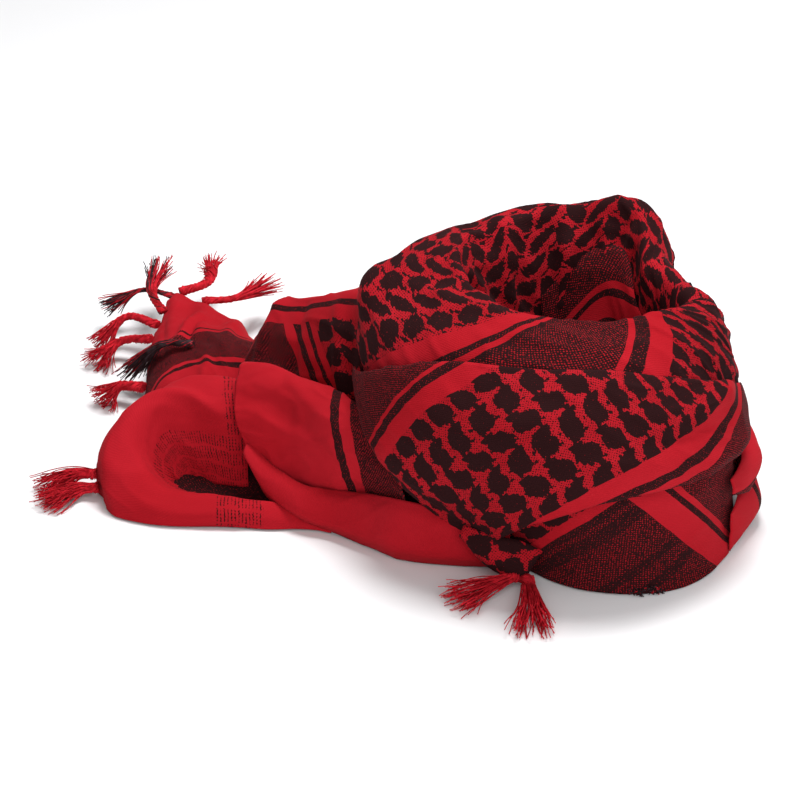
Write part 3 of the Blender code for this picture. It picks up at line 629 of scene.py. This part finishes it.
# Lozenges: steps, half length and half width, and lean; then the thin barb's half width and slope
LOZENGE_ALONG, LOZENGE_ACROSS = 19.0, 15.5
LOZENGE_HALF_LENGTH, LOZENGE_HALF_WIDTH, LOZENGE_LEAN = 9.2, 5.6, 0.42
BARB_HALF_WIDTH, BARB_SLOPE = 1.0, 0.8
OVAL_RADIUS = 8.0  # turns a share of an oval's radius into mm
# Net: from one line to the next, and the share dark on each side of a line's middle; the same for its breaks
NET_PITCH, NET_LINE = 2.5, 0.2
NET_BREAK, NET_UNBROKEN = 11.0, 0.42
FIELD_COVER = {"leaves": 0.54, "lozenges": 0.54, "net": 0.62}
FIELD_GROUND = {"leaves": 0.36, "lozenges": 0.34, "net": 0.0}  # share of dark thread round the figures
FRAY = {"leaves": 6.0, "lozenges": 10.0, "net": 2.0}  # how far the figures' edges waver, in mm
STRIPE_COVER, MAUVE_COVER = 0.76, 0.66  # share of dark thread
THREAD_PITCH, TWILL_PITCH = 2.2, 1.9
WAVER, WAVER_ALONG = 3.0, 0.8  # how far the drawing wavers, and the share of it along the stripes
WAVER_SCALE, GRAIN_SCALE, FRAY_SCALE, WEAR_SCALE, THREAD_SCALE = 42.0, 900.0, 300.0, 9.0, 240.0
THREAD_RISE, GRAIN_RISE, LEAST_RISE = 0.24, 0.9, 0.05  # how unevenly dark threads come to the top
THREAD_EDGE, FIGURE_EDGE = 0.09, 0.5  # softness of their edges and of the figures'
TWILL_UNEVEN, TWILL_RELIEF = 5.0, 0.35
WORN_SHARE, WORN_TWILL = 0.55, 0.12  # most worn red, and how much of it follows the twill
BUMP = {"Strength": 0.25, "Distance": 0.0006}
CLOTH_SURFACE = {
    "Roughness": 0.86,
    "Specular IOR Level": 0.05,
    "Sheen Weight": 0.03,
    "Sheen Roughness": 0.45,
    "Sheen Tint": (0.9, 0.30, 0.34, 1.0),
}
THREAD_SURFACE = {"Roughness": 0.8, "Specular IOR Level": 0.1}
TABLE_SURFACE = {"Roughness": 0.6}


class Graph:
    """Short names for a material's nodes."""

    def __init__(self, material):
        material.use_nodes = True
        self.tree = material.node_tree
        self.shader = self.tree.nodes["Principled BSDF"]

    def node(self, kind, inputs=(), **settings):
        made = self.tree.nodes.new(kind)
        for key, value in settings.items():
            setattr(made, key, value)
        for key, value in dict(inputs).items():
            self.feed(made.inputs[key], value)
        return made

    def feed(self, socket, value):
        if isinstance(value, bpy.types.NodeSocket):
            self.tree.links.new(value, socket)
        else:
            socket.default_value = value

    def math(self, operation, *values):
        made = self.node("ShaderNodeMath", operation=operation)
        for socket, value in zip(made.inputs, values):
            self.feed(socket, value)
        return made.outputs[0]

    def add(self, a, b):
        return self.math("ADD", a, b)

    def times(self, a, b):
        return self.math("MULTIPLY", a, b)

    def fraction(self, a):
        return self.math("FRACT", a)

    def ramp(self, value, low, high, to_low=0.0, to_high=1.0):
        inputs = {"Value": value, "From Min": low, "From Max": high, "To Min": to_low, "To Max": to_high}
        return self.node("ShaderNodeMapRange", inputs, interpolation_type="SMOOTHSTEP").outputs[0]

    def mix(self, share, a, b):
        made = self.node("ShaderNodeMix", data_type="RGBA")
        self.feed(made.inputs["Factor"], share)
        self.feed(made.inputs[6], a)
        self.feed(made.inputs[7], b)
        return made.outputs[2]

    def noise(self, place, scale, detail=2.0):
        inputs = {"Vector": place, "Scale": scale, "Detail": detail}
        return self.node("ShaderNodeTexNoise", inputs).outputs[0]

    def surface(self, colour, values):
        for key, value in {"Base Color": colour, **values}.items():
            self.feed(self.shader.inputs[key], value)


def cells(graph, across, along, pitch_across, pitch_along):
    """Place in mm from the middle of a cell of a lattice, and whether its column is odd (1) or even (-1)."""
    column, row = graph.times(across, 1 / pitch_across), graph.times(along, 1 / pitch_along)
    x = graph.times(graph.add(graph.fraction(column), -0.5), pitch_across)
    y = graph.times(graph.add(graph.fraction(row), -0.5), pitch_along)
    parity = graph.math("FLOORED_MODULO", graph.math("FLOOR", column), 2.0)
    return x, y, graph.add(graph.times(parity, 2.0), -1.0)


def oval(graph, x, y, half_x, half_y):
    """How far inside an oval a place is, in mm."""
    wide, tall = graph.math("DIVIDE", x, half_x), graph.math("DIVIDE", y, half_y)
    away = graph.math("SQRT", graph.add(graph.times(wide, wide), graph.times(tall, tall)))
    return graph.times(graph.math("SUBTRACT", 1.0, away), OVAL_RADIUS)


def leaf_rows(graph, across, along):
    """Round leaves in stepped chains: each has a tail to the next and a thin stem to the chain beside it."""
    x, y, odd = cells(graph, across, along, LEAF_ALONG, LEAF_ACROSS)
    half_x = graph.add(LEAF_HALF_LENGTH, graph.times(odd, LEAF_LONGER))
    half_y = graph.add(LEAF_HALF_WIDTH, graph.times(odd, -LEAF_NARROWER))
    leaf = oval(graph, graph.add(x, graph.times(y, LEAF_LEAN)), y, half_x, half_y)
    wave = graph.math("SINE", graph.times(x, math.pi / LEAF_ALONG))
    swing = graph.times(wave, graph.times(odd, TAIL_SWING))
    tail_width = graph.add(TAIL_HALF_WIDTH, graph.times(x, -TAIL_TAPER))
    tail = graph.math("SUBTRACT", tail_width, graph.math("ABSOLUTE", graph.math("SUBTRACT", y, swing)))
    lean = graph.times(graph.math("SINE", graph.times(y, math.pi / LEAF_ACROSS)), STEM_SWING)
    beside = graph.math("ABSOLUTE", graph.add(graph.add(x, -STEM_PLACE), lean))
    stem = graph.math("SUBTRACT", STEM_HALF_WIDTH, beside)
    return graph.math("MAXIMUM", graph.math("MAXIMUM", leaf, tail), stem)


def lozenge_rows(graph, across, along):
    """Long lozenges leaning to either side in turn, with thin ends that run into the next row."""
    shifted = graph.add(along, graph.times(across, 0.5 * LOZENGE_ALONG / LOZENGE_ACROSS))
    x, y, odd = cells(graph, across, shifted, LOZENGE_ACROSS, LOZENGE_ALONG)
    leaning = graph.add(x, graph.times(graph.times(y, odd), LOZENGE_LEAN))
    leaf = oval(graph, leaning, y, LOZENGE_HALF_WIDTH, LOZENGE_HALF_LENGTH)
    beside = graph.math("ABSOLUTE", graph.add(y, graph.times(leaning, BARB_SLOPE)))
    barb = graph.math("SUBTRACT", BARB_HALF_WIDTH, beside)
    return graph.math("MAXIMUM", leaf, barb)


def net_rows(graph, across, along):
    """Fine dark lines, broken here and there."""
    line = graph.math("ABSOLUTE", graph.add(graph.fraction(graph.times(along, 1 / NET_PITCH)), -0.5))
    broken = graph.math("ABSOLUTE", graph.add(graph.fraction(graph.times(across, 1 / NET_BREAK)), -0.5))
    shorter = graph.times(graph.math("SUBTRACT", NET_UNBROKEN, broken), NET_BREAK)
    return graph.math("MINIMUM", graph.times(graph.math("SUBTRACT", NET_LINE, line), NET_PITCH), shorter)


FIELDS = {"leaves": leaf_rows, "lozenges": lozenge_rows, "net": net_rows}


def band_kinds(graph, place, bands):
    """The kind of stripe at a place, as four shares, and how far it covers what it crosses."""
    low, high = bands[0].start, bands[-1].start + LAST_BAND
    share = graph.node("ShaderNodeMapRange", {"Value": place, "From Min": low, "From Max": high}).outputs[0]
    stripes = graph.node("ShaderNodeValToRGB", {"Fac": share})
    stripes.color_ramp.interpolation = "CONSTANT"
    stops = stripes.color_ramp.elements
    for band in bands[2:]:
        stops.new((band.start - low) / (high - low))
    for stop, band in zip(stops, bands):
        stop.position = (band.start - low) / (high - low)
        stop.color = KINDS[band.kind]
    split = graph.node("ShaderNodeSeparateColor", {"Color": stripes.outputs[0]})
    return [*split.outputs[:3], stripes.outputs[1]]


def woven(name, bands, fields=("leaves", "lozenges"), crossing=None):
    """Twill cotton in two colours of thread, with the stripes of a table and a pattern in each field."""
    material = bpy.data.materials.new(name)
    graph = Graph(material)
    place = graph.node("ShaderNodeUVMap", uv_map="weave").outputs[0]
    split = graph.node("ShaderNodeSeparateXYZ", {"Vector": place})
    waver = graph.times(graph.add(graph.noise(place, WAVER_SCALE), -0.5), WAVER)
    across = graph.add(graph.times(split.outputs[0], 1 / MM), waver)
    along = graph.add(graph.times(split.outputs[1], 1 / MM), graph.times(waver, WAVER_ALONG))

    kinds = band_kinds(graph, across, bands)
    if crossing:
        over = band_kinds(graph, along, crossing)
        sum_over = graph.add(graph.add(over[0], over[1]), graph.add(over[2], over[3]))
        through = graph.math("GREATER_THAN", sum_over, OPEN_SUM)
        kept = graph.math("SUBTRACT", 1.0, through)
        pairs = zip(kinds, over)
        kinds = [graph.add(graph.times(under, through), graph.times(upper, kept)) for under, upper in pairs]
    stripe, mauve, first, second = kinds

    grain = graph.noise(place, GRAIN_SCALE, 1.0)
    warp = graph.math("SINE", graph.times(across, 2 * math.pi / THREAD_PITCH))
    weft = graph.math("SINE", graph.times(along, 2 * math.pi / THREAD_PITCH))
    uneven = graph.add(graph.times(grain, GRAIN_RISE), LEAST_RISE)
    threads = graph.add(graph.times(graph.times(warp, weft), THREAD_RISE), uneven)
    stretch = {0: place, 1: (0.5, 1.5, 1.0)}
    drawn = graph.node("ShaderNodeVectorMath", stretch, operation="MULTIPLY").outputs[0]
    frayed = graph.add(graph.noise(drawn, FRAY_SCALE, 4.0), -0.5)
    cover = graph.add(graph.times(stripe, STRIPE_COVER), graph.times(mauve, MAUVE_COVER))
    for field, share in zip(fields, (first, second)):
        edge = graph.add(FIELDS[field](graph, across, along), graph.times(frayed, FRAY[field]))
        inside = graph.ramp(edge, -FIGURE_EDGE, FIGURE_EDGE)
        figure = graph.add(graph.times(inside, FIELD_COVER[field]), FIELD_GROUND[field])
        cover = graph.add(cover, graph.times(share, figure))
    shown = graph.ramp(graph.math("SUBTRACT", cover, threads), -THREAD_EDGE, THREAD_EDGE)

    diagonal = graph.times(graph.add(across, along), 2 * math.pi / TWILL_PITCH)
    twill = graph.math("SINE", graph.add(diagonal, graph.times(grain, TWILL_UNEVEN)))
    tone = graph.ramp(graph.noise(place, WEAR_SCALE, 4.0), 0.32, 0.70)
    wear = graph.add(graph.times(tone, WORN_SHARE), graph.times(twill, WORN_TWILL))
    relief = graph.add(graph.times(twill, TWILL_RELIEF), grain)
    bump = graph.node("ShaderNodeBump", {"Height": relief, **BUMP}).outputs[0]
    colour = graph.mix(shown, graph.mix(wear, RED, RED_WORN), DARK)
    graph.surface(colour, {**CLOTH_SURFACE, "Normal": bump})
    return material


def thread_material(name, colour, worn):
    """Twisted cotton thread."""
    material = bpy.data.materials.new(name)
    graph = Graph(material)
    place = graph.node("ShaderNodeTexCoord").outputs["Object"]
    tone = graph.ramp(graph.noise(place, THREAD_SCALE, 3.0), 0.3, 0.7)
    graph.surface(graph.mix(tone, colour, worn), THREAD_SURFACE)
    return material


# Tassels: root, bend and tip of the middle, share that stays twisted together, spread at the tips, share of
# dark thread, and radius where it is twisted
Tassel = namedtuple("Tassel", "name root bend tip twisted spread dark girth")
TASSELS = [
    Tassel("tassel_rear_black", (-292.5, 279.2, 29), (-318, 284, 32), (-346, 280, 20), 0.6, 8, 0.75, 2.4),
    Tassel("tassel_rear_left", (-299.5, 249.8, 29.6), (-309, 266, 40), (-306, 322, 38), 0.45, 8, 0.35, 3.4),
    Tassel("tassel_rear_tall", (-288.3, 279.7, 32.2), (-268, 290, 36), (-266, 336, 33), 0.8, 5, 0, 4.4),
    Tassel("tassel_rear_right", (-271, 261, 33.6), (-245, 266, 34), (-220, 304, 28), 0.5, 8, 0, 3.6),
    Tassel("tassel_rear_upper", (-303.3, 237.9, 25.1), (-328, 254, 24), (-350, 240, 8), 0.7, 7, 0, 4.0),
    Tassel("tassel_rear_lower", (-307.3, 221.8, 21.5), (-332, 232, 14), (-352, 212, 5), 0.6, 11, 0, 4.6),
    Tassel("tassel_rear_knot", (-273.4, 165, 45.2), (-298, 172, 41), (-324, 184, 12), 0.35, 11, 0.8, 3.2),
    Tassel("tassel_between_tails", (-310, 152, 16), (-328, 160, 13), (-343, 150, 6), 0.5, 11, 0, 5.5),
    Tassel("tassel_left_upper", (-336, 23, 13), (-352, 29, 10), (-376, 16, 5), 0.15, 10, 0, 4.8),
    Tassel("tassel_left_lower", (-333.9, 12.2, 8), (-350, 12, 7), (-372, -6, 5), 0.15, 10, 0, 4.8),
    Tassel("tassel_front_left", (-44, -115, 9), (-62, -128, 9), (-88, -146, 5), 0.15, 13, 0, 5.0),
    Tassel("hem_fringe_left", (38, -113, 3), (37, -120, 2), (34, -127, 1), 0.0, 5, 0.9, 2.0),
    Tassel("hem_fringe_right", (47, -111, 3), (48, -118, 2), (47, -126, 1), 0.0, 6, 0.9, 2.0),
    Tassel("tassel_front_right", (-37, -116, 8), (-35, -146, 8), (-35, -184, 4), 0.2, 12, 0, 5.0),
]
THREADS = 90
THREAD_RADIUS, THREAD_TAPER, THREAD_SIDES = 0.6, 0.45, 3
THREAD_JOINTS = 16
KNOT, KNOT_PLACE, KNOT_LENGTH = 1.0, 0.07, 0.05  # how far it stands out, and its shares along the tassel
CORD_TURNS = 2.2
FAN, CURL, LENGTHS = (0.2, 1.25), (0.5, 2.2), (0.8, 1.06)  # least and most spread, curl and length
CURL_TURN, FLATNESS, CURL_RISE = 9.0, 0.62, 0.4  # radians of curl, and how flat tassel and curl lie
THREAD_REST, REST_PILE = 0.5, 0.4  # lowest height of a thread, and how much higher some lie
FIRST_DRAW = 100  # seed of the first tassel's random draws


def across_curve(spine):
    """Sideways and upward directions at each point of a curve."""
    ahead = np.gradient(spine, axis=0)
    ahead /= norm(ahead, axis=1)[:, None]
    sideways = np.cross(ahead, (0, 0, 1))
    sideways /= norm(sideways, axis=1)[:, None]
    return sideways, np.cross(sideways, ahead)


def tube(path, radius, places, faces):
    """Adds a tapering tube along a path to a list of places and faces."""
    sideways, upward = across_curve(path)
    first = len(places)
    for i, (point, side, up) in enumerate(zip(path, sideways, upward)):
        size = radius * (1 - THREAD_TAPER * i / len(path))
        for corner in range(THREAD_SIDES):
            turn = 2 * math.pi * corner / THREAD_SIDES
            places.append(point + size * (math.cos(turn) * side + math.sin(turn) * up))
    for i in range(len(path) - 1):
        ring = first + THREAD_SIDES * i
        for corner in range(THREAD_SIDES):
            a, b = ring + corner, ring + (corner + 1) % THREAD_SIDES
            faces.append((a, b, b + THREAD_SIDES, a + THREAD_SIDES))
    faces.append(tuple(first + (-corner) % THREAD_SIDES for corner in range(THREAD_SIDES)))
    faces.append(tuple(range(len(places) - THREAD_SIDES, len(places))))


def tassel(row, number, materials):
    """Threads knotted at the hem, twisted together for a stretch and then loose."""
    draw = random.Random(FIRST_DRAW + number)
    share = np.linspace(0, 1, THREAD_JOINTS)
    spine = smooth([row.root, row.bend, row.tip], 2 * share)
    sideways, upward = across_curve(spine)
    places, faces, shades = [], [], []
    loose = np.clip((share - row.twisted) / (1 - row.twisted), 0, 1)
    knot = np.exp(-(((share - KNOT_PLACE) / KNOT_LENGTH) ** 2)) * KNOT
    for thread in range(THREADS):
        turn = 2 * math.pi * draw.random()
        reach = math.sqrt(draw.random())
        fan = row.spread * draw.uniform(*FAN)
        curl, phase = draw.uniform(*CURL), draw.uniform(0, 6.3)
        longer = 1 + (draw.uniform(*LENGTHS) - 1) * np.clip(2 * share - 1, 0, 1)
        angle = turn + 2 * math.pi * CORD_TURNS * np.minimum(share, row.twisted)
        out = reach * (row.girth + knot) + fan * loose ** 1.5
        wave = curl * loose * np.sin(CURL_TURN * share + phase)
        path = spine[0] + (spine - spine[0]) * longer[:, None]
        path = path + sideways * (out * np.cos(angle) + wave)[:, None]
        path = path + upward * (FLATNESS * out * np.sin(angle) + CURL_RISE * wave)[:, None]
        path[:, 2] = np.maximum(path[:, 2], THREAD_REST + REST_PILE * draw.random())
        before = len(faces)
        tube(path, THREAD_RADIUS, places, faces)
        shades += [int(draw.random() < row.dark)] * (len(faces) - before)
    mesh = new_mesh(row.name + "_threads", np.array(places), faces, materials)
    mesh.polygons.foreach_set("material_index", shades)
    made = in_scene(row.name + "_threads", mesh)
    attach(made, BODY)
    if row.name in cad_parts:
        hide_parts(row.name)


def hidden_cloth(material):
    """The layers under the visible cloth: stacked folds all round on the hidden solid's form."""
    made = in_scene("hidden_layers_cloth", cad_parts["hidden_layers"].data.copy())
    made.data.materials.clear()
    # The material is painted shade: dark all over, as the layers lie in shadow between the visible cloths.
    made.data.materials.append(material)
    fine = bmesh.new()
    fine.from_mesh(made.data)
    bmesh.ops.remove_doubles(fine, verts=fine.verts, dist=SAME_PLACE)
    bmesh.ops.triangulate(fine, faces=fine.faces)
    for _ in range(CELL_ROUNDS):
        long_edges = [edge for edge in fine.edges if edge.calc_length() > LAYER_CELL]
        bmesh.ops.subdivide_edges(fine, edges=long_edges, cuts=1)
        bmesh.ops.triangulate(fine, faces=fine.faces)
    weave = fine.loops.layers.uv.new("weave")
    fine.normal_update()
    moves = []
    for vertex in fine.verts:
        x, y, z = (vertex.co - LOOP_MIDDLE) / MM
        layer = (z + LAYER_WANDER * noise.noise(Vector((x, y, z)) / WANDER_SIZE)) / LAYER_PITCH
        fold = abs(2 * (layer - math.floor(layer)) - 1) ** 2
        steep = 1 - abs(vertex.normal.z)
        outlying = min(max((HEAP_START - x) / HEAP_EASE, 0.0), 1.0)
        inward = LAYER_DEPTH * fold * max(min(1.0, z / LAYER_FOOT), 0) + HEAP_INSET * outlying
        sink = Vector((0, 0, HEAP_SINK * outlying * max(z, 0)))
        moves.append((-vertex.normal * inward * steep - sink) * MM)
    for vertex, move in zip(fine.verts, moves):
        vertex.co += move
    for face in fine.faces:
        for loop in face.loops:
            x, y, z = loop.vert.co
            turn = math.atan2(y - LOOP_MIDDLE.y, x - LOOP_MIDDLE.x)
            loop[weave].uv = (turn * LAYER_WRAP, z + LAYER_SLOPE * math.hypot(x, y))
    fine.to_mesh(made.data)
    fine.free()
    made.data.shade_smooth()
    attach(made, BODY)
    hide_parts("hidden_layers")


def camera():
    """The photograph's viewpoint: level across, looking down on the loop's left side."""
    elevation, distance, width = math.radians(27), 3000.0, 560.0
    target = Vector((-122.5, 33.7, 66.1))
    ahead = Vector((0, math.cos(elevation), -math.sin(elevation)))
    data = bpy.data.cameras.new("camera")
    data.lens = data.sensor_width * distance / width
    data.clip_end = 100
    made = in_scene("camera", data)
    made.location = (target - ahead * distance) * MM + LOOP_MIDDLE
    made.rotation_euler = ahead.to_track_quat("-Z", "Y").to_euler()
    bpy.context.scene.camera = made


def table():
    """A plain pale table, a hair below the cloth."""
    bpy.ops.mesh.primitive_plane_add(size=8, location=(0, 0, -0.0002))
    made = bpy.context.active_object
    made.name = "table"
    material = bpy.data.materials.new("table")
    graph = Graph(material)
    place = graph.node("ShaderNodeTexCoord").outputs["Object"]
    tone = graph.ramp(graph.noise(place, 3.0), 0.3, 0.7)
    graph.surface(graph.mix(tone, TABLE_WHITE, TABLE_SHADE), TABLE_SURFACE)
    made.data.materials.append(material)


Light = namedtuple("Light", "name place size energy")
LIGHTS = [
    Light("key", (0.15, 0.4, 1.7), 0.7, 34),
    Light("front", (0.2, -1.7, 0.9), 1.6, 23),
    Light("right", (1.6, 0.0, 0.9), 1.5, 9),
]
ROOM_LIGHT = 0.22


def lights():
    """Soft boxes round the table, and a pale room."""
    for row in LIGHTS:
        data = bpy.data.lights.new(row.name, "AREA")
        data.size = row.size
        data.energy = row.energy
        made = in_scene(row.name, data)
        made.location = row.place
        made.rotation_euler = (-Vector(row.place)).to_track_quat("-Z", "Y").to_euler()
    room = bpy.data.worlds.new("room")
    room.use_nodes = True
    room.node_tree.nodes["Background"].inputs[0].default_value = (1, 1, 1, 1)
    room.node_tree.nodes["Background"].inputs[1].default_value = ROOM_LIGHT
    bpy.context.scene.world = room


def loop_cloths(patterned, drape_weave):
    """The neck loop and the turns that hang over its front."""
    neck = dress(lap_points(NECK_LOOP, columns=150), NECK_CREASES, height=2.0, seed=1.0)
    cloth("neck_loop", neck, patterned, NECK_CUT, ["loop_back", "loop_front"])
    drape = dress(lap_points(FRONT_DRAPE, columns=54), DRAPE_CREASES, seed=2.0)
    cloth("front_drape_cloth", drape, drape_weave, DRAPE_CUT, ["front_drape"])
    under = dress(lap_points(UNDER_DRAPE, columns=40), [], seed=3.0)
    under_weave = woven("cloth_under", UNDER_BORDER, crossing=UNDER_CROSSING)
    cloth("under_drape_cloth", under, under_weave, UNDER_CUT, ["under_drape"])


def small_folds(patterned, plain):
    """The two looped edges at the right and the fold in the hole."""
    upper = dress(lap_points(RIGHT_FOLD_UPPER, columns=20), [], height=1, seed=4.0)
    cloth("right_fold_upper_cloth", upper, patterned, UPPER_CUT, ["right_fold_upper"])
    lower = dress(lap_points(RIGHT_FOLD_LOWER, columns=22), [], height=1, seed=5.0)
    cloth("right_fold_lower_cloth", lower, plain, LOWER_CUT, ["right_fold_lower"])
    inner = dress(lap_points(INNER_FOLD, columns=40), [], seed=6.0)
    inner_weave = woven("cloth_inner", INNER_BORDER)
    cloth("inner_fold_cloth", inner, inner_weave, INNER_CUT, ["inner_fold"])


def front_end(plain, painted_shadow_cloth, drape_weave):
    """The flap, its rolled edge, the open folded end, and the edge that runs down to the front tassels."""
    flap = dress(section_points(FRONT_TAIL_FLAP), FLAP_CREASES, FACING_OUT, size=18, height=1.8, seed=7.0)
    cloth("front_tail_flap_cloth", flap, plain, FLAP_CUT, ["front_tail_flap"])
    hem = dress(section_points(FRONT_TAIL_HEM), [], FACING_OUT, height=0.9, seed=8.0)
    cloth("front_tail_hem_cloth", hem, plain, HEM_CUT, ["front_tail_hem"])
    mouth = dress(section_points(FRONT_TAIL_MOUTH, 0, MOUTH_END), MOUTH_CREASES, FACING_OUT, seed=9.0)
    mouth_weave = woven("cloth_mouth", MOUTH_BORDER, ("leaves", "net"), MOUTH_CROSSING)
    cloth("front_tail_mouth_cloth", mouth, mouth_weave, MOUTH_CUT, ["front_tail_mouth"])
    # The pocket is a sheet in the mouth's slit, its cloth dark with painted shade where the groove lies in
    # shadow.
    pocket = section_points(MOUTH_POCKET)
    cloth("mouth_pocket_cloth", pocket, painted_shadow_cloth, POCKET_CUT, [])
    corner = section_points(FRONT_CORNER_HEM)
    cloth("front_corner_hem_cloth", corner, drape_weave, CORNER_CUT, ["front_corner_hem"])


def rear_end():
    """The ridge behind, and the low end that it runs down to."""
    fold = dress(section_points(REAR_TAIL_FOLD, 0, FOLD_END), FOLD_CREASES, seed=10.0)
    fold_weave = woven("cloth_rear", REAR_BORDER, crossing=REAR_CROSSING)
    cloth("rear_tail_fold_cloth", fold, fold_weave, REAR_CUT, ["rear_tail_fold"])
    end = dress(section_points(REAR_TAIL_END, 1), END_CREASES, seed=11.0)
    end_weave = woven("cloth_end", END_BORDER)
    cloth("rear_tail_end_cloth", end, end_weave, END_CUT, ["rear_tail_end"])


def main():
    camera()
    table()
    lights()
    bpy.context.scene.view_settings.view_transform = "Standard"
    red_thread = thread_material("thread_red", RED, RED_LIT)
    dark_thread = thread_material("thread_dark", DARK, DARK_WORN)
    patterned = woven("cloth_patterned", NECK_BORDER)
    plain = woven("cloth_plain", FLAP_BORDER)
    # The hidden layers and the mouth's pocket get a cloth darkened all over with painted shade.
    painted_shadow_cloth = woven("cloth_layers_painted_shadow", PAINTED_SHADOW_BORDER)
    drape_weave = woven("cloth_drape", DRAPE_BORDER)
    hidden_cloth(painted_shadow_cloth)
    loop_cloths(patterned, drape_weave)
    small_folds(patterned, plain)
    front_end(plain, painted_shadow_cloth, drape_weave)
    rear_end()
    for number, row in enumerate(TASSELS):
        tassel(row, number, (red_thread, dark_thread))


main()
